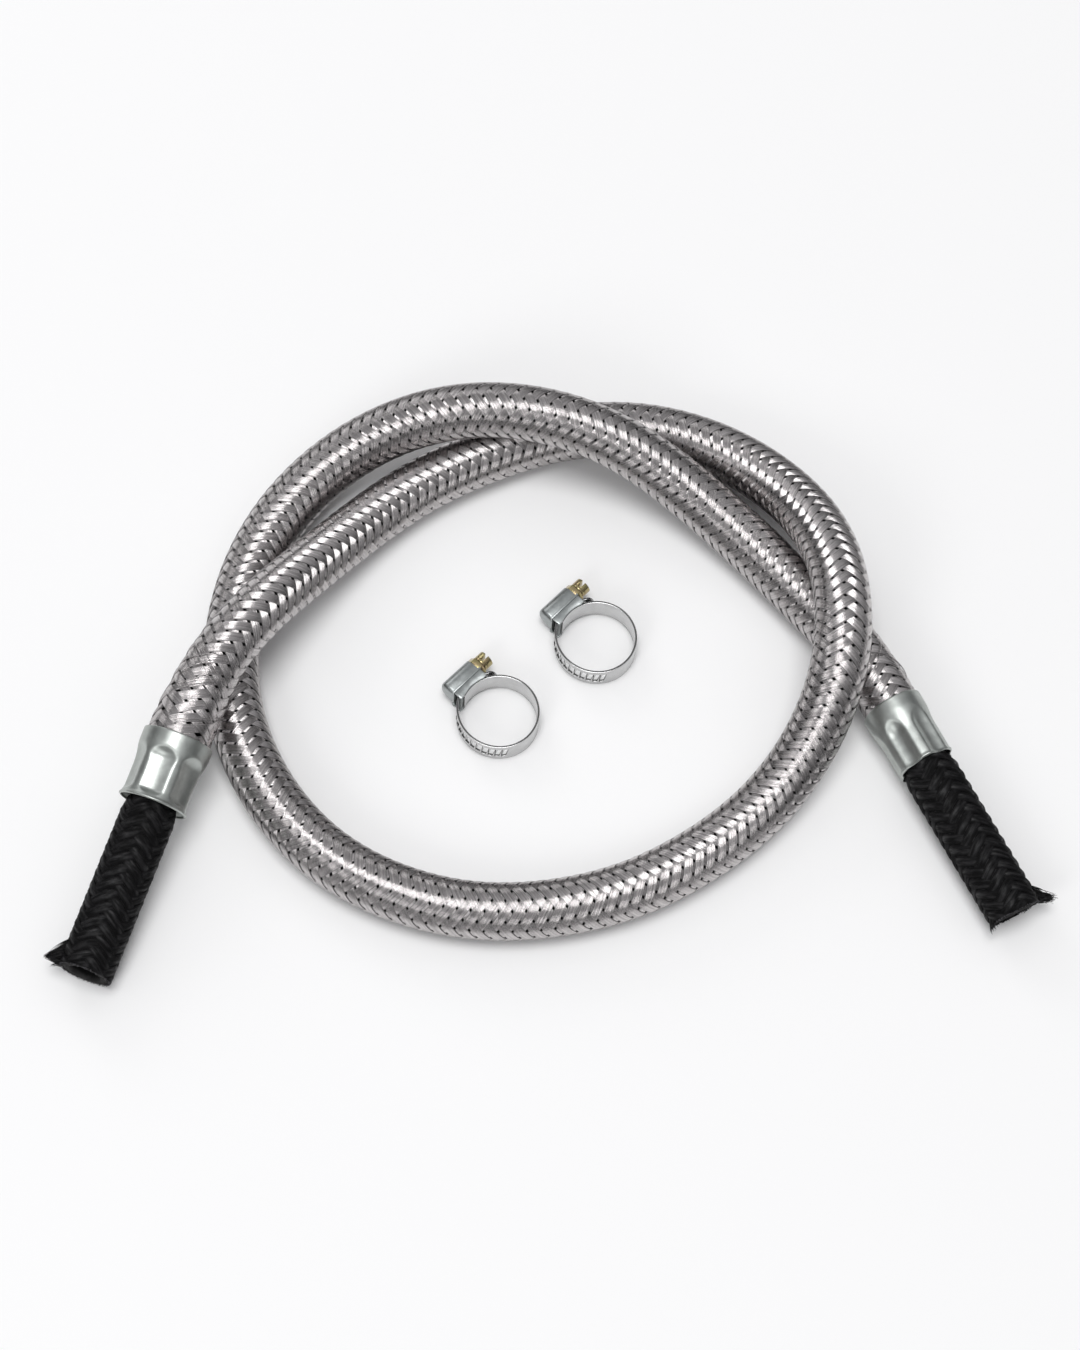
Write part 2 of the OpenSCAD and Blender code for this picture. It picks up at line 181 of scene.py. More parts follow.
# Guide points of the hose between its ferrules, in metres
GUIDE_STEP = 0.022
ROUTE = [
    (-0.087, 0.015, 0.027), (-0.074, 0.033, 0.017), (-0.059, 0.051, 0.010), (-0.041, 0.067, 0.0085),
    (-0.020, 0.078, 0.0085), (0.002, 0.086, 0.0085), (0.026, 0.088, 0.0085), (0.050, 0.081, 0.0085),
    (0.069, 0.066, 0.012), (0.081, 0.046, 0.0205), (0.086, 0.023, 0.028), (0.085, -0.001, 0.027),
    (0.077, -0.021, 0.016), (0.063, -0.039, 0.009), (0.045, -0.054, 0.0085), (0.024, -0.066, 0.0085),
    (0.001, -0.072, 0.0085), (-0.023, -0.073, 0.0085), (-0.046, -0.067, 0.0085), (-0.067, -0.055, 0.0085),
    (-0.083, -0.036, 0.0085), (-0.093, -0.014, 0.0085), (-0.096, 0.009, 0.0085), (-0.093, 0.033, 0.0085),
    (-0.084, 0.055, 0.0085), (-0.068, 0.073, 0.0115), (-0.047, 0.083, 0.0185), (-0.024, 0.085, 0.0255),
    (0.000, 0.082, 0.0265), (0.022, 0.075, 0.0215), (0.041, 0.064, 0.0125), (0.059, 0.048, 0.0085),
    (0.075, 0.030, 0.0085),
]


def mount_size(mount, word):
    """A size of one of the part's mounts, in metres."""
    return MOUNTS[mount]["dims"][word + "_mm"] * MM


def length(name, description, default):
    """A property that holds a length in metres."""
    return FloatProperty(name=name, description=description, default=default, min=0.0, precision=5,
                         subtype="DISTANCE", unit="LENGTH")


def lengths(name, description, *defaults):
    """A property that holds a length for the left end and one for the right end."""
    return FloatVectorProperty(name=name, description=description + ", left and right", default=defaults,
                               min=0.0, precision=5, size=2, unit="LENGTH")


def turn(name, description, degrees):
    """A property that holds an angle."""
    return FloatProperty(name=name, description=description, default=math.radians(degrees),
                         subtype="ANGLE", unit="ROTATION")


def turns(name, description, *degrees):
    """A property that holds an angle for the left end and one for the right end."""
    return FloatVectorProperty(name=name, description=description + ", left and right", size=2,
                               default=[math.radians(angle) for angle in degrees], unit="ROTATION")


def count(name, description, default, least=0):
    """A property that holds a number of things."""
    return IntProperty(name=name, description=description, default=default, min=least)


def colour(name, description, default):
    """A property that holds a colour."""
    return FloatVectorProperty(name=name, description=description, default=default, min=0.0, max=1.0,
                               size=3, subtype="COLOR")


class HoseSizes(bpy.types.PropertyGroup):
    """Sizes of the hose and its wire braid."""

    bore_radius: length("Bore radius", "Inside radius of the rubber liner", mount_size("left_bore", "r"))
    liner_radius: length("Liner radius", "Outside radius of the rubber liner", 0.00695)
    cover_radius: length("Cover radius", "Outside radius of the textile cover",
                         mount_size("left_clip_land", "r"))
    braid_radius: length("Braid radius", "Outside radius of the wire braid", 0.0085)
    strands: count("Strands", "Wire strands that wind each way", 8, 4)
    wires: count("Wires", "Wires side by side in a strand", 9, 2)
    wire: length("Wire", "Diameter of one wire", 0.00028)
    strand_width: length("Strand width", "Width of a flat wire strand", 0.0026)
    lay: length("Lay", "Length in which a wire strand winds once round the hose", 0.0305)
    bulge: lengths("Bulge", "Swelling of the braid at a ferrule", 0.0011, 0.0001)
    bulge_length: length("Bulge length", "Length over which a swelling dies away", 0.03)
    lumps: length("Lumps", "Height of the lumps in the loose braid at the left ferrule", 0.00045)
    strays: count("Stray wires", "Wires that stand out by the ferrules", 14)
    tuck: length("Tuck", "How far the wire shows inside a ferrule's mouth", 0.006)
    cut: lengths("Cut", "How much shorter an end is cut at its short side", 0.0016, 0.0028)


class CoverSizes(bpy.types.PropertyGroup):
    """Sizes of the black textile cover on the bare ends."""

    strands: count("Strands", "Yarn strands that wind each way", 8, 4)
    yarns: count("Yarns", "Yarns side by side in a strand", 10, 2)
    yarn: length("Yarn", "Thickness of one yarn", 0.0003)
    strand_width: length("Strand width", "Width of a yarn strand", 0.003)
    lay: length("Lay", "Length in which a yarn strand winds once round the hose", 0.031)
    relief: length("Relief", "How far a strand rises over its neighbours", 0.00024)
    crown: length("Crown", "How far a strand's edges fall away", 0.0004)
    puff: length("Puff", "How far the loose yarn swells past the cover's radius", 0.0004)
    pinch: length("Pinch", "How far a ferrule presses the yarn in", 0.0006)


class FerruleSizes(bpy.types.PropertyGroup):
    """Sizes of the crimped ferrules."""

    length: length("Length", "Length of a ferrule", 0.021)
    sheet: length("Sheet", "Thickness of the sheet", 0.0006)
    collar_length: length("Collar length", "Length of the plain collar", 0.0065)
    flutes: count("Flutes", "Pressed flutes round a ferrule", 6, 3)
    scoop: length("Scoop", "Extra depth in the middle of a flute", 0.0003)
    flare: length("Flare", "Length in which the waist opens into the lip", 0.0042)
    funnel: length("Funnel", "Length in which the collar narrows to the waist", 0.008)
    bead: length("Bead", "How far the rolled rim stands out", 0.00035)
    collar: lengths("Collar", "Outside radius of the collar", 0.0105, 0.0092)
    waist: lengths("Waist", "Outside radius of the waist", 0.0097, 0.0087)
    lip: lengths("Lip", "Outside radius of the lip", 0.0104, 0.009)
    depth: lengths("Depth", "Depth of the flutes", 0.001, 0.001)
    turn: turns("Turn", "Turn of the flutes", 0, 36)
    start: lengths("Start", "Distance from the mouth to the flutes' arched ends", 0.006, 0.0072)
    runout: lengths("Run-out", "Distance from the lip at which the flutes rise again", 0.0034, 0.0012)
    tool: lengths("Tool", "Radius of the end of the tool that pressed the flutes", 0.003, 0.008)
    hollow: lengths("Hollow", "Radius of the hollow across a flute", 0.013, 0.0055)


class ClampSizes(bpy.types.PropertyGroup):
    """Sizes of a worm-drive clamp."""

    band_radius: length("Band radius", "Inside radius of the band", mount_size("near_clamp_ring", "r"))
    band_width: length("Band width", "Width of the band", mount_size("near_clamp_ring", "length"))
    sheet: length("Band sheet", "Thickness of the band", 0.0006)
    slot_pitch: length("Slot pitch", "Distance from slot to slot", 0.002)
    slot_width: length("Slot width", "Width of a slot", 0.0013)
    slot_length: length("Slot length", "Length of a slot across the band", 0.0044)
    slot_slant: turn("Slot slant", "Slant of a slot", 12)
    slots: count("Slots", "Slots that show in the loop", 12)
    tail: length("Tail", "How far the free end stands out of the housing", 0.0035)
    gap: length("Gap", "Gap between the sliding strip and its guides", 0.00015)
    saddle_sheet: length("Saddle sheet", "Thickness of the saddle", 0.0007)
    saddle_depth: length("Saddle depth", "Depth of the saddle's side walls at its ends", 0.0028)
    housing_length: length("Housing length", "Length of the housing along the screw", 0.0112)
    housing_sheet: length("Housing sheet", "Thickness of the housing", 0.0007)
    housing_round: length("Housing rounding", "Rounding of the housing's closed end", 0.0013)
    foot_ledge: length("Foot ledge", "How far the foot stands out past the saddle", 0.0002)
    foot_sheet: length("Foot sheet", "Thickness of the housing's foot", 0.0006)
    worm_radius: length("Worm radius", "Outside radius of the worm", 0.00245)
    worm_root: length("Worm root", "Root radius of the worm", 0.0018)
    bore_radius: length("Worm bore", "Inside radius of the housing", 0.00258)
    collar_flats: length("Collar flats", "Width across flats of the screw's collar", 0.0057)
    collar_length: length("Collar length", "Thickness of the hexagon collar", 0.0018)
    head_radius: length("Head radius", "Radius of the slotted head", 0.0025)
    head_length: length("Head length", "Height of the slotted head", 0.0034)
    neck: length("Neck", "Width of the groove between collar and head", 0.0004)
    driver_width: length("Driver slot width", "Width of the screwdriver slot", 0.0011)
    driver_depth: length("Driver slot depth", "Depth of the screwdriver slot", 0.0022)


class Colours(bpy.types.PropertyGroup):
    """Colours of the finishes."""

    wire: colour("Wire", "Drawn steel wire", (0.53, 0.507, 0.505))
    zinc: colour("Ferrule zinc", "Satin zinc of the ferrules", (0.45, 0.475, 0.455))
    band: colour("Band steel", "Polished strip of the clamps", (0.54, 0.54, 0.54))
    housing: colour("Housing zinc", "Bright zinc of the housings", (0.35, 0.372, 0.37))
    screw: colour("Yellow zinc", "Yellow passivated screws", (0.42, 0.365, 0.185))
    yarn: colour("Yarn", "Black yarn of the cover", (0.006, 0.0058, 0.0064))
    rubber: colour("Rubber", "Black rubber of the liner", (0.03, 0.0295, 0.0295))
    floor: colour("Floor", "Pale floor", (0.975, 0.975, 0.975))


GROUPS = {
    "hose_sizes": HoseSizes,
    "cover_sizes": CoverSizes,
    "ferrule_sizes": FerruleSizes,
    "clamp_sizes": ClampSizes,
    "hose_colours": Colours,
}


class Value:
    """A shader value that adds Math nodes when it is used in an expression."""

    def __init__(self, finish, socket):
        self.finish = finish
        self.socket = socket

    def __add__(self, other):
        return self.finish.math("ADD", self, other)

    def __rsub__(self, other):
        return self.finish.math("SUBTRACT", other, self)

    def __mul__(self, other):
        return self.finish.math("MULTIPLY", self, other)

    __radd__ = __add__
    __rmul__ = __mul__


class Nodes:
    """A node tree whose nodes are added by type, with their settings and inputs."""

    def __init__(self, tree):
        self.tree = tree
        tree.nodes.clear()

    def node(self, kind, settings, inputs):
        """Adds a node, sets it up, then fills or links its inputs."""
        made = self.tree.nodes.new(kind)
        for key, value in settings.items():
            setattr(made, key, value)
        for key, value in inputs.items():
            self.feed(made.inputs[key], value)
        return made

    def feed(self, socket, value):
        """Links a value to a socket, or sets a constant on it."""
        if isinstance(value, Value):
            self.tree.links.new(value.socket, socket)
        elif socket.type == "RGBA":
            socket.default_value = (*value, 1.0)
        else:
            socket.default_value = value

    def value(self, kind, settings, inputs, output=0):
        """Adds a node and gives one of its outputs."""
        return Value(self, self.node(kind, settings, inputs).outputs[output])

    def parts(self, vector):
        """Splits a vector into its three values."""
        split = self.node("ShaderNodeSeparateXYZ", {}, {0: vector})
        return [Value(self, output) for output in split.outputs]

    def math(self, operation, a, b=0.0):
        """Adds a Math node."""
        return self.value("ShaderNodeMath", {"operation": operation}, {0: a, 1: b})

    def spread(self, value, low, high):
        """Stretches the part of a value between low and high over 0 to 1."""
        return self.value("ShaderNodeMapRange", {"interpolation_type": "SMOOTHSTEP"},
                          {"Value": value, "From Min": low, "From Max": high})

    def mix(self, factor, a, b):
        """Mixes two colours."""
        return self.value("ShaderNodeMix", {"data_type": "RGBA"}, {0: factor, 6: a, 7: b}, 2)

    def vector(self, x, y, z):
        """Joins three values."""
        return self.value("ShaderNodeCombineXYZ", {}, {0: x, 1: y, 2: z})

    def noise(self, where, scale, detail=2.0, roughness=0.5):
        """A noise pattern from 0 to 1."""
        return self.value("ShaderNodeTexNoise", {},
                          {"Vector": where, "Scale": scale, "Detail": detail, "Roughness": roughness})


class Finish(Nodes):
    """A material on one Principled shader."""

    def __init__(self, name, **constants):
        self.material = bpy.data.materials.new(name)
        self.material.use_nodes = True
        super().__init__(self.material.node_tree)
        self.shader = self.node("ShaderNodeBsdfPrincipled", {}, {})
        self.surface(**constants)
        self.node("ShaderNodeOutputMaterial", {}, {"Surface": Value(self, self.shader.outputs[0])})

    def place(self):
        """The piece's own coordinates in metres."""
        return self.value("ShaderNodeTexCoord", {}, {}, "Object")

    def strand(self):
        """Distance along a strand or strip and across it, and its own number or height."""
        return self.parts(self.value("ShaderNodeAttribute", {"attribute_name": "strand"}, {}, "Vector"))

    def clouded(self, pattern, rgb, dark, light, low=0.3, high=0.7):
        """A colour that a pattern shades between two shares of itself."""
        return self.mix(self.spread(pattern, low, high), shaded(rgb, dark), shaded(rgb, light))

    def bump(self, height, distance, strength=1.0):
        """Lets a height pattern tilt the surface."""
        self.surface(Normal=self.value("ShaderNodeBump", {}, {
            "Strength": strength, "Distance": distance, "Height": height}))

    def surface(self, **inputs):
        """Feeds the shader's inputs."""
        for key, value in inputs.items():
            self.feed(self.shader.inputs[key.replace("_", " ")], value)


def shaded(rgb, share):
    """A colour made lighter or darker."""
    return tuple(min(1.0, share * channel) for channel in rgb)


def wire_finish(rgb):
    """Drawn wire: long streaks, wires of different brightness, and painted shade that darkens and roughens a strand's
    edges.
    """
    finish = Finish("drawn_wire", Metallic=1.0)
    along, across, number = finish.strand()
    streaks = finish.noise(finish.vector(along * 140, across * 5200, number * 61), 1.0, 3.0)
    wires = finish.noise(finish.vector(along * 14, across * 3000, number * 23), 1.0, 1.0)
    # painted shade: the strand's edges, where it dives under its neighbours, are darkened to a fifth and made rougher
    painted_edge_shade = finish.spread(finish.math("ABSOLUTE", across), 0.00108, 0.0013)
    tint = finish.mix(painted_edge_shade, finish.clouded(wires, rgb, 0.80, 1.14), shaded(rgb, 0.2))
    finish.surface(Base_Color=tint, Roughness=0.11 + 0.19 * streaks + 0.3 * painted_edge_shade)
    return finish.material


def ferrule_finish(rgb):
    """Satin zinc on pressed sheet: cloudy, with fine tool marks."""
    finish = Finish("satin_zinc", Metallic=1.0)
    clouds = finish.noise(finish.place(), 260.0, 4.0, 0.6)
    grain = finish.noise(finish.place(), 2600.0)
    finish.surface(Base_Color=finish.clouded(clouds, rgb, 0.88, 1.08),
                   Roughness=0.28 + 0.14 * clouds + 0.08 * grain)
    finish.bump(clouds + 0.12 * grain, 0.00012, 0.5)
    return finish.material


def strip_finish(rgb):
    """Polished strip with a fine rolled grain along it, and painted shade on the cut walls of its edges and slots."""
    finish = Finish("polished_strip", Metallic=1.0)
    along, across, height = finish.strand()
    grain = finish.noise(finish.vector(along * 260, across * 9000, height * 400), 1.0, 3.0)
    clouds = finish.noise(finish.place(), 300.0)
    # painted shade: the walls through the sheet's thickness, at its edges and in its slots, are darkened to under a
    # third
    painted_wall_shade = finish.spread(height, 0.00002, 0.0001) * (1 - finish.spread(height, 0.0005, 0.00058))
    tint = finish.mix(painted_wall_shade, finish.clouded(clouds, rgb, 0.92, 1.04), shaded(rgb, 0.3))
    finish.surface(Base_Color=tint, Roughness=0.1 + 0.16 * grain)
    finish.bump(grain, 0.00001, 0.4)
    return finish.material


def housing_finish(rgb):
    """Bright blue zinc on a pressed housing."""
    finish = Finish("bright_zinc", Metallic=1.0)
    clouds = finish.noise(finish.place(), 420.0, 3.0, 0.6)
    grain = finish.noise(finish.place(), 3200.0)
    finish.surface(Base_Color=finish.clouded(clouds, rgb, 0.88, 1.1), Roughness=0.26 + 0.16 * clouds)
    finish.bump(clouds + 0.2 * grain, 0.00006, 0.4)
    return finish.material


def screw_finish(rgb):
    """Yellow passivated zinc, which shifts between straw, pink and olive."""
    finish = Finish("yellow_zinc", Metallic=1.0)
    clouds = finish.noise(finish.place(), 520.0, 3.0, 0.6)
    grain = finish.noise(finish.place(), 3800.0)
    red, green, blue = rgb
    pink = (red * 1.06, green * 0.9, blue * 1.1)
    olive = (red * 0.74, green * 0.82, blue * 0.7)
    warm = finish.mix(finish.spread(clouds, 0.35, 0.7), rgb, pink)
    finish.surface(Base_Color=finish.mix(finish.spread(grain, 0.45, 0.8), warm, olive),
                   Roughness=0.13 + 0.17 * clouds)
    finish.bump(grain, 0.00004, 0.4)
    return finish.material


def yarn_finish(rgb):
    """Black yarn: dull fibres with painted shade between the strands, and glossy patches on their crests whose base
    colour is lightened as a painted sheen.

    Worn fibres have numbers over 1 and are grey."""
    finish = Finish("black_yarn", Specular_IOR_Level=0.14, Coat_Roughness=0.28)
    along, across, number = finish.strand()
    fibres = finish.noise(finish.vector(along * 900 + across * 700, across * 9000, number * 41), 1.0, 3.0)
    patches = finish.noise(finish.vector(along * 420, across * 900, number * 17), 1.0, 3.0)
    # painted shade and sheen: the base colour is halved between the strands and off the glossy patches, and doubled on
    # them; the coat on the patches is real gloss
    crest = 1.0 - finish.spread(finish.math("ABSOLUTE", across), 0.0006, 0.0016)
    gloss_and_painted_sheen = crest * finish.spread(patches, 0.36, 0.74)
    tint = finish.mix(gloss_and_painted_sheen, shaded(rgb, 0.5), shaded(rgb, 2.0))
    finish.surface(Base_Color=finish.mix(finish.spread(number, 1.0, 1.01), tint, shaded(rgb, 14)),
                   Roughness=0.55 + 0.2 * fibres, Coat_Weight=0.6 * gloss_and_painted_sheen)
    finish.bump(fibres + 0.7 * patches, 0.00022, 0.9)
    return finish.material


def rubber_finish(rgb):
    """Black rubber, matt and slightly grained, with painted shade that darkens it down the bore."""
    finish = Finish("black_rubber", Specular_IOR_Level=0.08)
    # painted shade: the base colour falls to a tenth from 0.3 mm to 1.8 mm down the bore
    depth = finish.spread(finish.strand()[0], 0.0003, 0.0018)
    grain = finish.noise(finish.place(), 2400.0, 4.0, 0.65)
    clouds = finish.noise(finish.place(), 300.0)
    tint = finish.mix(depth, finish.clouded(clouds, rgb, 0.7, 1.5), shaded(rgb, 0.1))
    finish.surface(Base_Color=tint, Roughness=0.55 + 0.25 * grain)
    finish.bump(grain, 0.00015, 0.6)
    return finish.material


def floor_finish(rgb):
    """Plain pale floor."""
    finish = Finish("pale_floor", Roughness=0.9, Specular_IOR_Level=0.1)
    clouds = finish.noise(finish.place(), 3.0)
    finish.surface(Base_Color=finish.clouded(clouds, rgb, 0.995, 1.0, 0.2, 0.8))
    return finish.material


FINISHES = {
    "braid_wire": (wire_finish, "wire"),
    "ferrule_zinc": (ferrule_finish, "zinc"),
    "band_steel": (strip_finish, "band"),
    "housing_zinc": (housing_finish, "housing"),
    "screw_yellow": (screw_finish, "screw"),
    "cover_textile": (yarn_finish, "yarn"),
    "liner_rubber": (rubber_finish, "rubber"),
}
made_finishes = {}


def finish_for(slot):
    """The material of a slot, made once."""
    if slot not in made_finishes:
        make, shade = FINISHES[slot]
        made_finishes[slot] = make(tuple(getattr(bpy.context.scene.hose_colours, shade)))
    return made_finishes[slot]


def link(name, data):
    """Puts a new object into the scene."""
    made = bpy.data.objects.new(name, data)
    bpy.context.scene.collection.objects.link(made)
    return made


def mesh_of(bm, name, material):
    """Makes a mesh of a bmesh, in one material, and frees the bmesh."""
    mesh = bpy.data.meshes.new(name)
    bm.to_mesh(mesh)
    bm.free()
    mesh.materials.append(material)
    return mesh


def add_piece(bm, name, body, slot, nodes=(), place=None):
    """Makes a finished piece of a bmesh, in its slot's material, riding on its body."""
    if place is not None:
        bm.transform(place)
    for face in bm.faces:
        face.smooth = True
    piece = link(name, mesh_of(bm, name, finish_for(slot)))
    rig.ride(piece, body)
    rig.slot(piece, slot)
    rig.replaces(piece, *nodes)
    return piece


def new_bmesh():
    """A bmesh with the layer that holds each point's place on its strand."""
    bm = bmesh.new()
    bm.verts.layers.float_vector.new("strand")
    return bm


def unit(v):
    """Vectors of length one."""
    return v / np.linalg.norm(v, axis=-1, keepdims=True)


def placing(x, y, z, origin):
    """The matrix that takes a piece from its own axes to its place."""
    return Matrix((*zip(x, y, z, origin), (0, 0, 0, 1)))


def map_grid(bm, columns, rows, shape):
    """Adds a grid and puts each of its points where shape says, from its column and row numbers.

    Shape gives the points and their strand values. The points and their columns come back."""
    layer = bm.verts.layers.float_vector["strand"]
    verts = bmesh.ops.create_grid(bm, x_segments=columns, y_segments=rows, size=1.0)["verts"]
    flat = np.array([vert.co[:2] for vert in verts])
    column = np.rint((flat[:, 0] + 1) / 2 * columns).astype(int)
    row = np.rint((flat[:, 1] + 1) / 2 * rows).astype(int)
    points, values = shape(column, row)
    for vert, point, value in zip(verts, points.tolist(), values.tolist()):
        vert.co = point
        vert[layer] = value
    return verts, column


def spin_section(bm, section, steps, turned=1.0, rise=0.0):
    """Spins a closed section of radii and heights round Z, once or as a screw that rises on its way."""
    verts = [bm.verts.new((r, 0, z)) for r, z in section]
    edges = [bm.edges.new(pair) for pair in zip(verts, verts[1:] + verts[:1])]
    bmesh.ops.spin(bm, geom=verts + edges, cent=(0, 0, 0), axis=(0, 0, 1), angle=TURN * turned,
                   dvec=(0, 0, rise / steps), steps=steps, use_merge=not rise)


def clean(bm):
    """Joins doubled points and turns the faces outwards."""
    bmesh.ops.remove_doubles(bm, verts=bm.verts, dist=MERGE)
    bmesh.ops.recalc_face_normals(bm, faces=bm.faces)


def close_tubes(bm):
    """Joins the seams of rolled-up grids and fills their open ends."""
    bmesh.ops.remove_doubles(bm, verts=bm.verts, dist=MERGE)
    fill_ends(bm)


def fill_ends(bm):
    """Fills the open ends of tubes."""
    bmesh.ops.holes_fill(bm, edges=[edge for edge in bm.edges if edge.is_boundary])
    bmesh.ops.recalc_face_normals(bm, faces=bm.faces)


def hard_edges(bm, degrees):
    """The edges where two faces meet at more than an angle."""
    return [edge for edge in bm.edges
            if len(edge.link_faces) == 2 and edge.calc_face_angle() > math.radians(degrees)]


def crease(bm, degrees):
    """Keeps the hard edges sharp in the shading."""
    for edge in hard_edges(bm, degrees):
        edge.smooth = False


def bevel(bm, edges, width, segments):
    """Rounds edges."""
    bmesh.ops.bevel(bm, geom=edges, offset=width, offset_type="OFFSET", segments=segments, profile=0.5,
                    affect="EDGES", clamp_overlap=True, material=-1)


def points_of(geometry):
    """The points in what a bmesh operator made."""
    return [item for item in geometry if isinstance(item, bmesh.types.BMVert)]


def new_faces(bm, before):
    """The faces that a bmesh has gained."""
    return [face for face in bm.faces if face not in before]


def thicken(bm, faces, drop):
    """Extrudes faces by a vector into a closed plate."""
    grown = bmesh.ops.extrude_face_region(bm, geom=faces, use_keep_orig=True)["geom"]
    bmesh.ops.translate(bm, vec=drop, verts=points_of(grown))
    bmesh.ops.recalc_face_normals(bm, faces=bm.faces)


class HoseEnd:
    """The frame of one end of the hose: Z runs outwards along it from the ferrule's mouth, X points down."""

    def __init__(self, side):
        mount = MOUNTS[side + "_bore"]
        self.side = side
        self.number = SIDES.index(side)
        self.axis = np.array(mount["axis"])
        self.length = mount_size(side + "_bore", "length")
        self.entry = np.array(mount["pos_m"]) - self.axis * self.length / 2
        level = unit(np.cross(UP, self.axis))
        self.place = placing(np.cross(level, self.axis), level, self.axis, self.entry)

    def at(self, distance):
        """A point on the axis, outwards from the ferrule's mouth."""
        return self.entry + distance * self.axis

    def floor(self, distance):
        """How far below the axis the floor lies."""
        return self.entry[2] + distance * self.axis[2]

    def cut(self, sizes, angle):
        """How far the hand-cut end falls short of its full length, at angles from the underside.

        The left end is shortest at its top, the right end at its underside."""
        short = (-1, 1)[self.number] * np.cos(angle)
        return sizes.cut[self.number] * (1 + short) / 2


class HoseLine:
    """The middle line of the hose from one ferrule to the other, with a straight stretch into each."""

    samples = 48  # points from one guide to the next
    tuck = 0.02  # length of the straight stretch into a ferrule

    def __init__(self, lowest):
        left, right = HoseEnd("left"), HoseEnd("right")
        guides = np.array(
            [left.at(k * GUIDE_STEP) for k in (1, 0, -1)] + ROUTE
            + [right.at(k * GUIDE_STEP) for k in (-1, 0, 1)])
        t = np.linspace(0, 1, self.samples, endpoint=False)[:, None]
        run = [
            ((1 - t) ** 3 * guides[i - 1] + (3 * t**3 - 6 * t**2 + 4) * guides[i]
             + (-3 * t**3 + 3 * t**2 + 3 * t + 1) * guides[i + 1] + t**3 * guides[i + 2]) / 6
            for i in range(1, len(guides) - 2)]
        run = np.concatenate(run + [right.entry[None]])
        run[:, 2] = np.maximum(run[:, 2], lowest)
        self.run = run
        self.points = np.concatenate([left.at(self.tuck)[None], run, right.at(self.tuck)[None]])
        steps = np.linalg.norm(np.diff(self.points, axis=0), axis=1)
        self.at = np.concatenate([[0], np.cumsum(steps)]) - self.tuck
        self.length = self.at[-1] - self.tuck
        ahead = unit(np.gradient(self.points, self.at, axis=0))
        self.across = unit(np.cross(UP, ahead))
        self.over = np.cross(ahead, self.across)

    def mixed(self, rows, s):
        """One value of each row of samples at distances along the line."""
        return np.stack([np.interp(s, self.at, rows[:, k]) for k in range(3)], axis=-1)

    def surface(self, s, angle, radius):
        """Points round the line."""
        out = (np.cos(angle)[:, None] * unit(self.mixed(self.across, s))
               + np.sin(angle)[:, None] * unit(self.mixed(self.over, s)))
        return self.mixed(self.points, s) + radius[:, None] * out


class Weave:
    """A tubular braid of flat strands, two over and two under, each of a few threads side by side."""

    samples = 2  # rows of points from one crossing to the next
    rise = 0.43  # how far a strand rises or sinks at a crossing, in threads
    base = 0.55  # depth of a strand's underside below its middle, in threads
    paces = (240, 410, 730)  # of the waves in which a strand wanders, in radians to the metre
    unrest, unrest_length = 5, 0.03  # how much more a strand wanders at its start

    def __init__(self, strands, lay, radius, width, threads, thread, crown):
        self.strands = strands
        self.radius = radius
        self.rate = TURN / lay
        self.slope = math.atan(self.rate * radius)
        self.crossing = lay / (2 * strands)
        self.lift = self.rise * thread
        tops = np.linspace(width / 2, -width / 2, 2 * threads + 1)
        ridge = np.where(np.arange(len(tops)) % 2, thread / 2, 0.0) - crown * (2 * tops / width) ** 2
        edge = width / 2
        self.corners = np.concatenate([tops, [-edge, edge], tops[:1]])
        self.heights = np.concatenate([ridge, [-self.base * thread] * 2, ridge[:1]])
        self.creases = set(range(0, len(tops), 2)) | set(range(len(tops), len(self.corners)))

    def add_strand(self, bm, hand, number, span, put, stray=0.0):
        """Adds one strand to a bmesh. Put gives the points at distances, angles and radii."""
        rows = max(4, round((span[1] - span[0]) / self.crossing * self.samples))
        chance = random.Random(number * 2 + (hand > 0))
        phases = [chance.uniform(0, 6.28) for _ in self.paces]
        shade = chance.random()

        def shape(column, row):
            s = span[0] + (span[1] - span[0]) * row / rows
            across = self.corners[column]
            along = s + across * math.sin(self.slope)
            angle = hand * (self.rate * along + across * math.cos(self.slope) / self.radius)
            angle = angle + TURN * number / self.strands
            crossing = number + self.strands * (angle + hand * self.rate * s) / TURN
            wave = np.clip(math.sqrt(2) * np.sin(math.pi / 2 * (crossing + 0.5)), -1, 1)
            wander = sum(np.sin(along * pace + phase) for pace, phase in zip(self.paces, phases))
            near = 1 + self.unrest * np.clip(1 - along / self.unrest_length, 0, 1)
            radius = self.radius + self.heights[column] + hand * self.lift * wave
            values = np.stack([along, across, np.full(len(along), shade)], axis=-1)
            return put(s, angle + stray * near * wander, radius), values

        verts, column = map_grid(bm, len(self.corners) - 1, rows, shape)
        columns = dict(zip(verts, column.tolist()))
        for vert, place in columns.items():
            if place in self.creases:
                for edge in vert.link_edges:
                    if columns[edge.other_vert(vert)] == place:
                        edge.smooth = False


def swelling(sizes, line, s, angle):
    """How far the loose braid stands out by the ferrules, at distances along the line and angles round it."""
    swells = []
    for bulge, distance in zip(sizes.bulge, (s, line.length - s)):
        reach = np.clip(np.abs(distance) / sizes.bulge_length, 0, 1)
        swells.append(bulge * (1 + np.cos(math.pi * reach)) / 2)
    begin, end = 0.008, 0.05
    loose = np.clip(s / begin, 0, 1) * np.clip(1 - s / end, 0, 1)
    lumps = np.sin(520 * s + 2 * angle) * np.sin(330 * s - 3 * angle + 1)
    return sum(swells) + sizes.lumps * loose * lumps


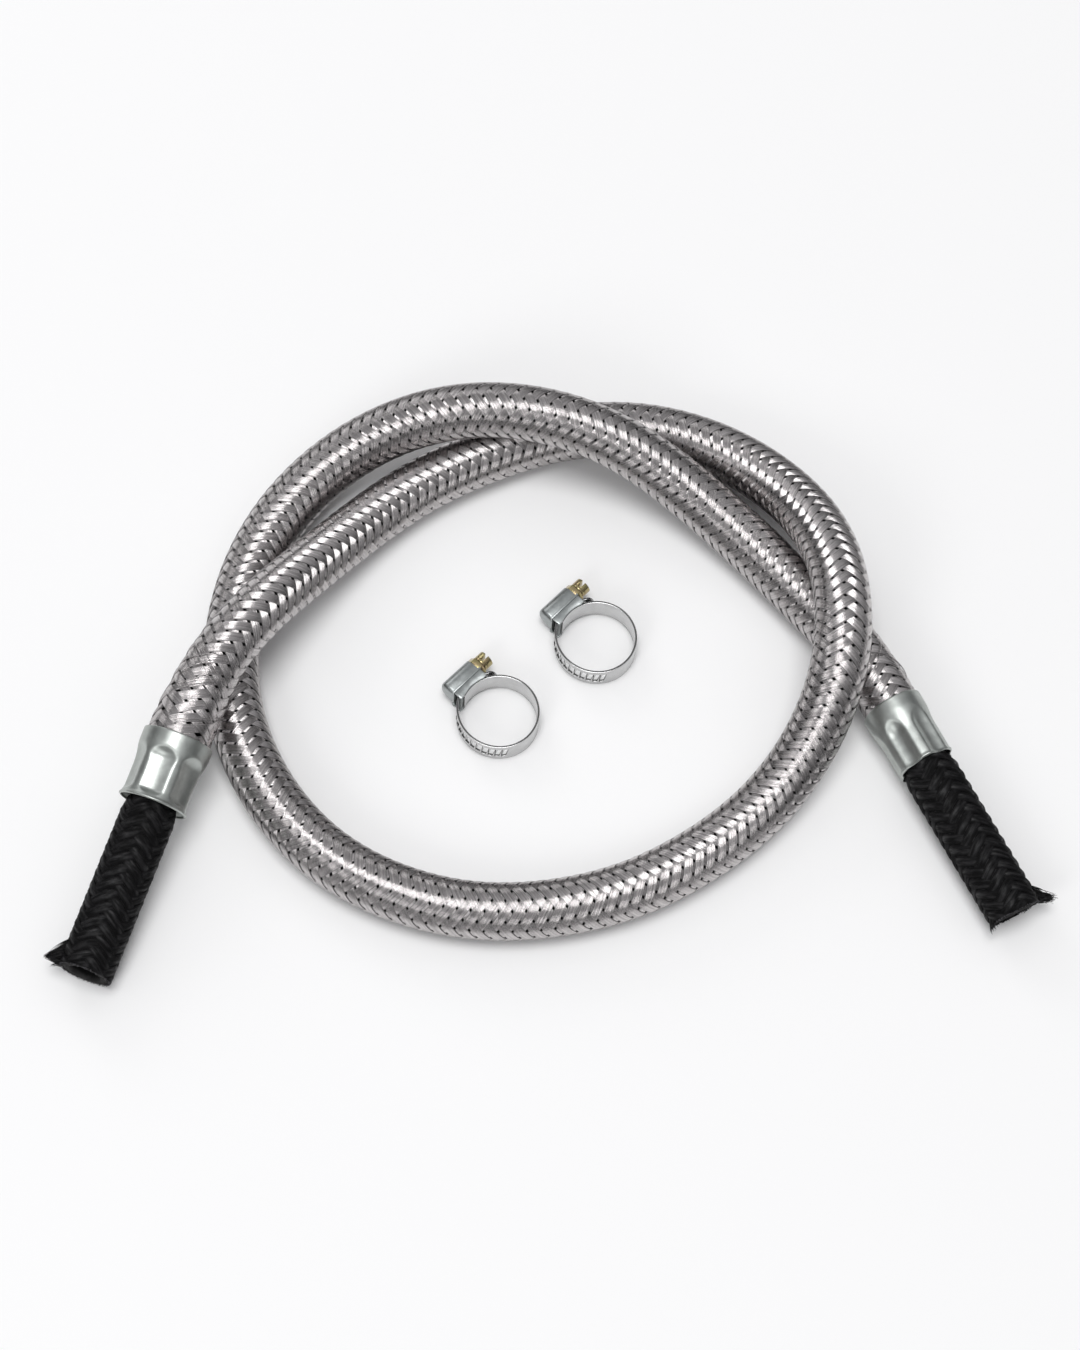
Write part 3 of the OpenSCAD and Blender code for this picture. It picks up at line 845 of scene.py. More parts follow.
def add_tube(bm, path, thick, shade):
    """Adds a thin tube along a path, with a radius at each of its points."""
    sides = 4
    aside = (0.3, 0.5, 0.8)  # any direction that the path doesn't run in
    ahead = np.gradient(path, axis=0)
    first = unit(np.cross(ahead, aside))
    second = unit(np.cross(ahead, first))
    gone = np.concatenate([[0], np.cumsum(np.linalg.norm(np.diff(path, axis=0), axis=1))])

    def shape(column, row):
        turned = (TURN * (column % sides) / sides)[:, None]
        ring = np.cos(turned) * first[row] + np.sin(turned) * second[row]
        values = np.stack([gone[row], turned[:, 0] * thick[row], np.full(len(row), shade)], axis=-1)
        return path[row] + thick[row][:, None] * ring, values

    map_grid(bm, sides, len(path) - 1, shape)


class PieceOperator:
    """What every operator here shares."""

    bl_options = {"REGISTER", "UNDO"}


class HOSE_OT_stage(PieceOperator, bpy.types.Operator):
    """Set up the floor, the light and the camera at the photograph's viewing angle."""

    bl_idname = "hose.stage"
    bl_label = "Stage"

    floor_reach = 12.0
    sky_low, sky_rise = 0.09, 0.5
    # Name, kind, place, power and settings of each lamp, which shines at the origin
    lamps = (
        ("key_light", "SUN", (0.0, -0.1, 1.25), 1.4, {"angle": math.radians(28)}),
        ("front_softbox", "AREA", (-0.7, -1.2, 1.0), 4.0, {"size": 0.6}),
        ("back_softbox", "AREA", (-0.7, 1.1, 0.7), 2.0, {"size": 0.6}),
    )
    target = Vector((-0.0035, 0.003, 0.0089))
    tilt = math.radians(64)
    view_angle = math.radians(17)
    view_distance = 1.0688

    def execute(self, context):
        scene = context.scene
        scene.view_settings.view_transform = "Standard"
        bm = bmesh.new()
        bmesh.ops.create_grid(bm, x_segments=1, y_segments=1, size=self.floor_reach)
        floor = link("floor", mesh_of(bm, "floor", floor_finish(tuple(scene.hose_colours.floor))))
        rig.stage(floor)

        scene.world = bpy.data.worlds.new("studio")
        scene.world.use_nodes = True
        sky = Nodes(scene.world.node_tree)
        upward = sky.parts(sky.value("ShaderNodeTexCoord", {}, {}, "Generated"))[2]
        glow = self.sky_low + self.sky_rise * sky.spread(upward, 0.1, 1.0)
        studio = sky.value("ShaderNodeBackground", {}, {"Color": (1.0, 1.0, 1.02), "Strength": glow})
        sky.node("ShaderNodeOutputWorld", {}, {"Surface": studio})

        for name, kind, place, power, settings in self.lamps:
            lamp = bpy.data.lights.new(name, kind)
            lamp.energy = power
            for key, value in settings.items():
                setattr(lamp, key, value)
            light = link(name, lamp)
            light.location = place
            light.rotation_euler = (-Vector(place)).to_track_quat("-Z", "Y").to_euler()

        data = bpy.data.cameras.new("camera")
        data.sensor_fit = "HORIZONTAL"
        data.angle = self.view_angle
        data.clip_start = 0.01
        scene.camera = link("camera", data)
        back = Vector((0, -math.cos(self.tilt), math.sin(self.tilt)))
        scene.camera.location = self.target + self.view_distance * back
        scene.camera.rotation_euler = (math.pi / 2 - self.tilt, 0, 0)
        return {"FINISHED"}


class HOSE_OT_braid(PieceOperator, bpy.types.Operator):
    """Weave the wire braid from flat strands of drawn wire."""

    bl_idname = "hose.braid"
    bl_label = "Wire Braid"

    crown = 0.3  # how far a strand's edges fall away, in wires
    stray = 0.009  # how far a strand wanders round the hose, in radians

    def execute(self, context):
        sizes = context.scene.hose_sizes
        line = HoseLine(sizes.braid_radius)
        mid = sizes.braid_radius - sizes.wire
        weave = Weave(sizes.strands, sizes.lay, mid, sizes.strand_width, sizes.wires, sizes.wire,
                      self.crown * sizes.wire)

        def put(s, angle, radius):
            return line.surface(s, angle, radius + swelling(sizes, line, s, angle))

        span = (-sizes.tuck, line.length + sizes.tuck)
        half = sizes.strands // 2
        for hand, word in ((1, "right"), (-1, "left")):
            for group in range(2):
                bm = new_bmesh()
                for number in range(group * half, group * half + half):
                    weave.add_strand(bm, hand, number, span, put, self.stray)
                close_tubes(bm)
                add_piece(bm, f"braid_{word}_hand_{group + 1}", "hose", "braid_wire", ["steel_braid"])
        return {"FINISHED"}


class HOSE_OT_strays(PieceOperator, bpy.types.Operator):
    """Lift a few stray wires out of the braid by the ferrules, most of them by the left one."""

    bl_idname = "hose.strays"
    bl_label = "Stray Wires"

    # Ranges of the wires' lengths, of their distances from the ferrules, of their windings in a lay, of the
    # angles at which they start and of the heights to which they rise
    reach = (0.006, 0.011)
    left_gap, right_gap = (0.002, 0.02), (0.002, 0.01)
    winding = (0.5, 1.3)
    bearing = (0.2, 2.9)
    height = (0.0003, 0.0009)

    def execute(self, context):
        sizes = context.scene.hose_sizes
        line = HoseLine(sizes.braid_radius)
        chance = random.Random("stray wires")
        t = np.linspace(0, 1, 13)
        bm = new_bmesh()
        for k in range(sizes.strays):
            long = chance.uniform(*self.reach)
            start = chance.uniform(*(self.left_gap if k % 4 else self.right_gap))
            s = (start if k % 4 else line.length - long - start) + long * t
            wound = chance.choice((-1, 1)) * chance.uniform(*self.winding) * TURN / sizes.lay
            angle = chance.uniform(*self.bearing) + wound * long * t
            rise = chance.uniform(*self.height) * np.sin(math.pi * t)
            radius = sizes.braid_radius + swelling(sizes, line, s, angle) - sizes.wire + rise
            add_tube(bm, line.surface(s, angle, radius), np.full(len(t), sizes.wire / 2), chance.random())
        close_tubes(bm)
        add_piece(bm, "stray_wires", "hose", "braid_wire")
        return {"FINISHED"}


class HOSE_OT_core(PieceOperator, bpy.types.Operator):
    """Lay the covered hose under the braid, and declare the free run of the hose."""

    bl_idname = "hose.core"
    bl_label = "Hose under the Braid"

    rings, sides = 420, 24

    def execute(self, context):
        sizes = context.scene.hose_sizes
        line = HoseLine(sizes.braid_radius)

        def shape(column, row):
            s = line.length * row / self.rings
            angle = TURN * (column % self.sides) / self.sides
            values = np.stack([s, angle * sizes.cover_radius, np.zeros(len(s))], axis=-1)
            return line.surface(s, angle, np.full(len(s), sizes.cover_radius)), values

        bm = new_bmesh()
        map_grid(bm, self.sides, self.rings, shape)
        close_tubes(bm)
        crease(bm, 60)
        core = add_piece(bm, "hose_under_braid", "hose", "cover_textile", ["hose_cover", "hose_liner"])
        braid = [f"braid_{word}_hand_{group}" for word in SIDES for group in (1, 2)]
        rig.cord(
            core, exit=line.run[0], length=0.852, diameter=2 * sizes.braid_radius, far_end="fitting",
            stiffness="stiff", lay="loose", path=line.run[::8],
            with_pieces=braid + ["stray_wires", "ferrule_right", "cover_right", "liner_right", "fray_right"])
        return {"FINISHED"}


class HOSE_OT_liners(PieceOperator, bpy.types.Operator):
    """Turn the rubber liner that shows at each cut end."""

    bl_idname = "hose.liners"
    bl_label = "Rubber Liners"

    edge = 0.0003  # rounding of the cut face
    ragged = 0.00035  # unevenness of the cut

    def execute(self, context):
        sizes, edge = context.scene.hose_sizes, self.edge
        inner, outer = sizes.bore_radius, sizes.liner_radius
        for side in SIDES:
            end = HoseEnd(side)
            long = end.length
            section = [(inner, 0.0), (inner, long / 2), (inner, long - edge)]
            section += [(r, long) for r in np.linspace(inner + edge, outer - edge, 6)]
            section += [(outer, long - edge), (outer, long / 2), (outer, 0.0)]
            bm = new_bmesh()
            spin_section(bm, section, 72)
            clean(bm)
            chance = random.Random(side)
            layer = bm.verts.layers.float_vector["strand"]
            for vert in bm.verts:
                x, y, z = vert.co
                # the bore's points carry their distance down from the cut end, which drives the painted shade in the
                # rubber's finish
                if math.hypot(x, y) < inner + edge / 2:
                    vert[layer] = (long - z, 0, 0)
                if z > long - 2 * edge:
                    vert.co.z -= end.cut(sizes, math.atan2(y, x)) + chance.uniform(0, self.ragged)
            crease(bm, 50)
            add_piece(bm, f"liner_{side}", "hose", "liner_rubber", [f"{side}_hose_liner"], end.place)
        return {"FINISHED"}


class HOSE_OT_covers(PieceOperator, bpy.types.Operator):
    """Weave the black textile cover of the bare ends."""

    bl_idname = "hose.covers"
    bl_label = "Textile Covers"

    start = 0.008  # where the yarn begins, inside the ferrule
    ragged = 0.0004  # unevenness of the cut
    stray = 0.004  # how far a strand wanders round the hose, in radians
    tucked, freed = 0.001, 0.006  # where the yarn comes free, inside the ferrule, and in what length
    slanted = 0.012  # length in which the strands lean towards the oblique cut

    def execute(self, context):
        sizes, cover = context.scene.hose_sizes, context.scene.cover_sizes
        ferrule = context.scene.ferrule_sizes
        mid = sizes.cover_radius - cover.yarn
        weave = Weave(cover.strands, cover.lay, mid, cover.strand_width, cover.yarns, cover.yarn,
                      cover.crown)
        weave.samples = 3
        weave.lift = cover.relief

        for side in SIDES:
            end = HoseEnd(side)

            def put(s, angle, radius):
                loose = np.clip((s - ferrule.length + self.tucked) / self.freed, 0, 1)
                loose = loose * (2 - loose)
                radius = radius + cover.puff * loose - cover.pinch * (1 - loose)
                s = s - end.cut(sizes, angle) * np.clip(1 - (end.length - s) / self.slanted, 0, 1)
                down = np.minimum(radius * np.cos(angle), end.floor(s))
                return np.stack([down, radius * np.sin(angle), s], axis=-1)

            chance = random.Random(side + " cover")
            bm = new_bmesh()
            for hand in (1, -1):
                for number in range(cover.strands):
                    stop = end.length - chance.uniform(0.0, self.ragged)
                    weave.add_strand(bm, hand, number, (self.start, stop), put, self.stray)
            close_tubes(bm)
            add_piece(bm, f"cover_{side}", "hose", "cover_textile", [f"{side}_hose_cover"], end.place)
        return {"FINISHED"}


class HOSE_OT_frays(PieceOperator, bpy.types.Operator):
    """Pull loose fibres out of the cover at the cut ends."""

    bl_idname = "hose.frays"
    bl_label = "Frayed Ends"

    # Side, angle round the end, spread of the roots, fibres, reach of the roots back from the cut, how far
    # the tips stand out and forward, splay of the tips, share by which the fibres gather, 1 if they are worn
    tufts = (
        ("left", 254, 14, 170, 0.0075, 0.0046, -0.0002, 0.00025, 0.92, 0),
        ("left", 262, 20, 14, 0.002, 0.0024, 0.0012, 0.0008, 0.5, 0),
        ("left", 0, 180, 150, 0.0004, -0.0003, 0.0001, 0.0002, 0.0, 1),
        ("right", 94, 20, 170, 0.0055, 0.0042, 0.001, 0.0007, 0.5, 0),
        ("right", 268, 16, 26, 0.001, 0.0006, 0.0017, 0.0006, 0.5, 0),
        ("right", 180, 180, 150, 0.0004, -0.0003, 0.0001, 0.0002, 0.0, 1),
    )
    shortest = 0.65  # share of its full reach that a fibre has at least
    bend = 0.035  # of a fibre, as a share of its length
    thickness = (0.00009, 0.00018)
    taper = 0.75

    def execute(self, context):
        sizes, cover = context.scene.hose_sizes, context.scene.cover_sizes
        for side in SIDES:
            end = HoseEnd(side)
            chance = random.Random(side + " fray")
            bm = new_bmesh()
            for owner, angle, spread, fibres, back, out, ahead, splay, gather, worn in self.tufts:
                for _ in range(fibres if owner == side else 0):
                    off = chance.uniform(-spread, spread)
                    root = self.point(end, sizes, angle + off, 0, -back * chance.random())
                    tip = self.point(end, sizes, angle + off * (1 - gather), out, ahead)
                    tip = tip + splay * np.array([chance.gauss(0, 1) for _ in range(3)])
                    for point in (tip, root):
                        point[0] = min(point[0], end.floor(point[2]) - cover.yarn)
                    reach = chance.uniform(self.shortest, 1.0)
                    self.add_fibre(bm, root, (tip - root) * reach, worn, chance)
            close_tubes(bm)
            add_piece(bm, f"fray_{side}", "hose", "cover_textile", (), end.place)
        return {"FINISHED"}

    def point(self, end, sizes, degrees, out, ahead):
        """A point round the cut end, so far out from the cover and ahead of its edge."""
        angle = math.radians(degrees)
        radius = sizes.cover_radius + out
        return np.array((radius * math.cos(angle), radius * math.sin(angle),
                         end.length - end.cut(sizes, angle) + ahead))

    def add_fibre(self, bm, root, step, worn, chance):
        """Adds one bent fibre that tapers from its root."""
        t = np.linspace(0, 1, 6)[:, None]
        bow = self.bend * np.linalg.norm(step) * np.array([chance.gauss(0, 1) for _ in range(3)])
        thick = chance.uniform(*self.thickness) * (1 - self.taper * t[:, 0] ** 2)
        add_tube(bm, root + t * step + 4 * t * (1 - t) * bow, thick, worn + chance.random())


class HOSE_OT_ferrules(PieceOperator, bpy.types.Operator):
    """Spin the ferrules and press their flutes."""

    bl_idname = "hose.ferrules"
    bl_label = "Crimped Ferrules"

    bead_back, bead_width = 0.0005, 0.0004  # place of the rolled bead before the end, and its width
    runout_radius = 0.0011  # of the tool where the flutes rise to the lip
    softness = 0.0002  # rounding where a flute meets the shell

    def execute(self, context):
        for side in SIDES:
            self.make(HoseEnd(side), context.scene.ferrule_sizes)
        return {"FINISHED"}

    def make(self, end, sizes):
        """Makes the ferrule of one end."""
        collar, waist, lip, depth, turned, start, runout, tool, hollow = (
            getattr(sizes, word)[end.number]
            for word in ("collar", "waist", "lip", "depth", "turn", "start", "runout", "tool", "hollow"))
        arch = start + math.sqrt(2 * tool * depth)
        round_r = sizes.sheet / 2
        soft = self.softness

        def smooth(t):
            t = np.clip(t, 0, 1)
            return t * t * (3 - 2 * t)

        def body(z):
            narrow = smooth((z - sizes.collar_length / 2) / sizes.funnel)
            opened = smooth((z - sizes.length + sizes.flare) / sizes.flare) ** 2
            bead = np.exp(-((z - sizes.length + self.bead_back) / self.bead_width) ** 2)
            plain = collar + (waist - collar) * narrow + (lip - sizes.bead - waist) * opened
            return plain + sizes.bead * bead

        def press(angle, z):
            step = TURN / sizes.flutes
            off = (angle - turned + step / 2) % step - step / 2
            floor = waist - depth - sizes.scoop + np.clip(arch - z, 0, 1) ** 2 / (2 * tool)
            floor = floor + np.clip(z - sizes.length + runout, 0, 1) ** 2 / (2 * self.runout_radius)
            plane = (floor + (waist * np.tan(off)) ** 2 / (2 * hollow)) / np.cos(off)
            shell = body(z)
            return shell + soft * np.logaddexp(-shell / soft, -plane / soft)

        top = sizes.length - round_r
        tall = np.linspace(round_r, top, 72)
        arc = np.linspace(0, math.pi, 6)[1:-1]
        rim = body(sizes.length) - round_r
        mouth = body(0.0) - round_r
        section = [(body(z), z) for z in tall]
        section += [(rim + round_r * math.cos(a), top + round_r * math.sin(a)) for a in arc]
        section += [(body(z) - sizes.sheet, z) for z in tall[::-2]]
        section += [(mouth - round_r * math.cos(a), round_r - round_r * math.sin(a)) for a in arc]
        bm = new_bmesh()
        spin_section(bm, section, 180)
        clean(bm)
        for vert in bm.verts:
            r = math.hypot(vert.co.x, vert.co.y)
            share = 1 - press(math.atan2(vert.co.y, vert.co.x), vert.co.z) / r
            vert.co.x *= share
            vert.co.y *= share
        add_piece(bm, f"ferrule_{end.side}", "hose", "ferrule_zinc", [f"{end.side}_ferrule"], end.place)


class ClampFrame:
    """A clamp's place and the sizes that follow from the given ones.

    Its ring lies round Z and its screw along X."""

    worm_rise = 0.0025  # of the screw's axis over the foot
    strip_inset, plain_inset = math.radians(4), math.radians(6)  # of the band's two ends from the mouth

    def __init__(self, name, sizes):
        self.name = f"{name}_clamp"
        lift, screw, tail = (JOINTS[self.name + word] for word in ("_lift", "_screw_turn", "_tail_feed"))
        x, z = -np.array(screw["axis"]), -np.array(tail["axis"])
        self.place = placing(x, np.cross(z, x), z, lift["pos_m"])
        self.band_out = sizes.band_radius + sizes.sheet
        self.saddle_out = self.band_out + sizes.saddle_sheet
        self.tail_radius = self.saddle_out + sizes.gap
        self.foot = self.tail_radius + sizes.sheet + sizes.gap
        self.worm = self.foot + self.worm_rise
        self.inner_width = sizes.band_width + 2 * sizes.gap
        self.wall_middle = (self.inner_width + sizes.saddle_sheet) / 2
        self.foot_width = self.inner_width + 2 * sizes.saddle_sheet + 2 * sizes.foot_ledge
        self.mouth = math.asin(sizes.housing_length / 2 / self.tail_radius)
        self.strip_end = math.pi / 2 + self.mouth - self.strip_inset
        self.plain_from = math.pi / 2 + self.mouth - self.plain_inset

    def add(self, bm, word, slot, node, rider="", place=None):
        """Makes a piece of the clamp that stands for one of its nodes, on the clamp or on a rider of it."""
        crease(bm, 40)
        add_piece(bm, f"{self.name}_{word}", self.name + rider, slot, [f"{self.name}_{node}"],
                  self.place if place is None else place)


def each_clamp(context):
    """The frames of both clamps, with their sizes."""
    sizes = context.scene.clamp_sizes
    return [(ClampFrame(name, sizes), sizes) for name in CLAMPS]


def bend_strip(bm, width, sheet, start, stop, inner, slots=(), sizes=None, tip=0.0):
    """Adds a strip of band, slotted and bent round the ring between two angles.

    Inner gives the inside radius at an angle, slots are angles, tip is the length of a rounded end."""
    step, edge = 0.0006, 0.00007
    tip_shares = (0.04, 0.12, 0.25, 0.45, 0.7, 1.0)
    radius = inner((start + stop) / 2) + sheet / 2
    slant = math.tan(sizes.slot_slant) if slots else 0
    cuts = [(slot * radius - sizes.slot_width / 2, slot * radius + sizes.slot_width / 2) for slot in slots]
    marks = {start * radius, stop * radius} | {side for cut in cuts for side in cut}
    if tip:
        marks |= {start * radius + tip * share for share in tip_shares}
    marks = sorted(marks)
    places = [marks[0]]
    for mark in marks[1:]:
        parts = max(1, math.ceil((mark - places[-1]) / step))
        places += list(np.linspace(places[-1], mark, parts + 1)[1:])
    inside = np.array([any(a - MERGE <= place <= b + MERGE for a, b in cuts) for place in places])
    places = np.array(places)
    slot_rows = [-sizes.slot_length / 2, sizes.slot_length / 2] if slots else []
    rows = np.array([-width / 2, *slot_rows, width / 2])

    def shape(column, row):
        x, y = places[column], rows[row]
        held = (row > 0) & (row < len(rows) - 1) & inside[column]
        x = x + np.where(held, y * slant, 0)
        if tip:
            back = np.clip((x - start * radius) / tip, 0, 1)
            y = y * np.sqrt(np.clip(1 - 0.94 * (1 - back) ** 2, 0, 1))
        points = np.stack([x, y, np.zeros(len(x))], axis=-1)
        return points, points

    before, bent = set(bm.faces), set(bm.verts)
    map_grid(bm, len(places) - 1, len(rows) - 1, shape)
    holes = []
    for face in new_faces(bm, before):
        x, y, _ = face.calc_center_median()
        if slots and abs(y) < sizes.slot_length / 2 and any(a < x - y * slant < b for a, b in cuts):
            holes.append(face)
    bmesh.ops.delete(bm, geom=holes, context="FACES")
    thicken(bm, new_faces(bm, before), (0, 0, sheet))
    bevel(bm, hard_edges(bm, 40), edge, 2)
    layer = bm.verts.layers.float_vector["strand"]
    for vert in bm.verts:
        if vert not in bent:
            x, y, z = vert.co
            vert[layer] = (x, y, z)
            angle = x / radius
            r = inner(angle) + z
            vert.co = (r * math.cos(angle), r * math.sin(angle), y)


class CLAMP_OT_bands(PieceOperator, bpy.types.Operator):
    """Bend the slotted bands of the clamps."""

    bl_idname = "clamp.bands"
    bl_label = "Bands"

    ramp_from = math.radians(215)  # where the overlap begins to rise off the ring
    first_slot = 1.4  # place of the first slot, in pitches from the band's end

    def execute(self, context):
        for clamp, sizes in each_clamp(context):
            low = sizes.band_radius
            shift = (clamp.tail_radius - low) / (1 - math.cos(self.ramp_from - clamp.strip_end))

            def inner(angle):
                if angle > self.ramp_from:
                    return low
                off = angle - self.ramp_from
                return -shift * math.cos(off) + math.sqrt((low + shift) ** 2 - (shift * math.sin(off)) ** 2)

            pitch = sizes.slot_pitch / clamp.band_out
            slots = [clamp.strip_end + (k + self.first_slot) * pitch for k in range(sizes.slots)]
            bm = new_bmesh()
            bend_strip(bm, sizes.band_width, sizes.sheet, clamp.strip_end, clamp.plain_from + TURN,
                       inner, slots, sizes)
            clamp.add(bm, "loop", "band_steel", "band")
        return {"FINISHED"}


class CLAMP_OT_tails(PieceOperator, bpy.types.Operator):
    """Bend the free ends of the bands, which the worms feed through the housings."""

    bl_idname = "clamp.tails"
    bl_label = "Free Ends"

    play = math.radians(0.4)  # between the free end and the loop that carries on from it
    tip = 0.0024  # length of the rounded end

    def execute(self, context):
        for clamp, sizes in each_clamp(context):
            start = math.pi / 2 - clamp.mouth - sizes.tail / clamp.tail_radius
            stop = clamp.strip_end - self.play
            pitch = sizes.slot_pitch / clamp.tail_radius
            last_slot = 2 - CLAMP_OT_bands.first_slot
            number = int((stop - start) / pitch) - 1
            slots = sorted(stop - (k + last_slot) * pitch for k in range(number))
            bm = new_bmesh()
            bend_strip(bm, sizes.band_width, sizes.sheet, start, stop, lambda angle: clamp.tail_radius,
                       slots, sizes, self.tip)
            clamp.add(bm, "free_end", "band_steel", "tail", "_tail")
        return {"FINISHED"}


class CLAMP_OT_saddles(PieceOperator, bpy.types.Operator):
    """Form the saddles that carry the housings on the bands."""

    bl_idname = "clamp.saddles"
    bl_label = "Saddles"

    edge = 0.00012  # rounding of the edges

    def execute(self, context):
        for clamp, sizes in each_clamp(context):
            bm = new_bmesh()
            long = sizes.housing_length / 2 - sizes.gap
            half = math.asin(long / clamp.saddle_out)
            bend_strip(bm, 2 * clamp.wall_middle, sizes.saddle_sheet, math.pi / 2 - half, math.pi / 2 + half,
                       lambda angle: clamp.band_out)
            for hand in (-1, 1):
                before = set(bm.faces)
                for vert in bmesh.ops.create_grid(bm, x_segments=24, y_segments=1, size=1.0)["verts"]:
                    x, level = vert.co.x * long, hand * clamp.wall_middle - sizes.saddle_sheet / 2
                    bore = math.sqrt((sizes.band_radius + sizes.gap) ** 2 - x**2)
                    low = max(bore, clamp.foot - sizes.saddle_depth)
                    vert.co = (x, low if vert.co.y < 0 else clamp.foot, level)
                thicken(bm, new_faces(bm, before), (0, 0, sizes.saddle_sheet))
            bevel(bm, hard_edges(bm, 60), self.edge, 2)
            clamp.add(bm, "cradle", "housing_zinc", "saddle")
        return {"FINISHED"}


class CLAMP_OT_housings(PieceOperator, bpy.types.Operator):
    """Press the housings over the worms."""

    bl_idname = "clamp.housings"
    bl_label = "Housings"

    boxy = 2.2  # exponent of the crown's section: 2 is round, more is squarer
    floor_rise = 0.00004  # of the open end's floor over the foot
    foot_lap = 0.0002  # how far the foot reaches into the wall
    edge = 0.00016  # rounding of the edges

    def execute(self, context):
        for clamp, sizes in each_clamp(context):
            bm = new_bmesh()
            long = sizes.housing_length
            crown = sizes.bore_radius + sizes.housing_sheet
            self.add_block(bm, clamp, long, crown)
            closed = [
                edge for edge in bm.edges
                if all(abs(vert.co.x + long / 2) < NEAR for vert in edge.verts)
                and any(vert.co.y > clamp.foot + 10 * NEAR for vert in edge.verts)]
            bevel(bm, closed, sizes.housing_round, 7)
            self.hollow_out(bm, clamp, long, sizes.housing_sheet)
            inner, outer = crown - self.foot_lap, clamp.foot_width / 2
            for hand in (-1, 1):
                before = set(bm.faces)
                for vert in bmesh.ops.create_grid(bm, x_segments=1, y_segments=1, size=1.0)["verts"]:
                    out = inner + (outer - inner) * (1 + vert.co.y) / 2
                    vert.co = (vert.co.x * long / 2, clamp.foot, hand * out)
                thicken(bm, new_faces(bm, before), (0, sizes.foot_sheet, 0))
            bevel(bm, hard_edges(bm, 50), self.edge, 3)
            clamp.add(bm, "case", "housing_zinc", "housing")
        return {"FINISHED"}

    def add_block(self, bm, clamp, long, crown):
        """Adds the solid form: a boxy arch over the worm with straight walls down to the foot."""
        for vert in bmesh.ops.create_circle(bm, cap_ends=True, segments=48, radius=crown)["verts"]:
            side, rise, _ = vert.co
            if rise > -NEAR:
                square = (abs(side) ** self.boxy + abs(rise) ** self.boxy) ** (-1 / self.boxy) * crown
                vert.co = (-long / 2, clamp.worm + rise * square, side * square)
            else:
                vert.co = (-long / 2, clamp.foot, math.copysign(crown, side))
        bmesh.ops.remove_doubles(bm, verts=bm.verts, dist=NEAR)
        bmesh.ops.dissolve_limit(bm, angle_limit=math.radians(0.5), verts=bm.verts, edges=bm.edges)
        thicken(bm, list(bm.faces), (long, 0, 0))

    def hollow_out(self, bm, clamp, long, sheet):
        """Sinks the open end into the block, down to the closed end's wall."""
        mouth = [face for face in bm.faces if all(abs(vert.co.x - long / 2) < NEAR for vert in face.verts)]
        bmesh.ops.inset_region(bm, faces=mouth, thickness=sheet, use_even_offset=True)
        for vert in {vert for face in mouth for vert in face.verts}:
            if vert.co.y < clamp.foot + 1.1 * sheet:
                vert.co.y = clamp.foot + self.floor_rise
        deep = bmesh.ops.extrude_face_region(bm, geom=mouth)["geom"]
        bmesh.ops.delete(bm, geom=mouth, context="FACES_ONLY")
        bmesh.ops.translate(bm, vec=(sheet - long, 0, 0), verts=points_of(deep))
        bmesh.ops.recalc_face_normals(bm, faces=bm.faces)


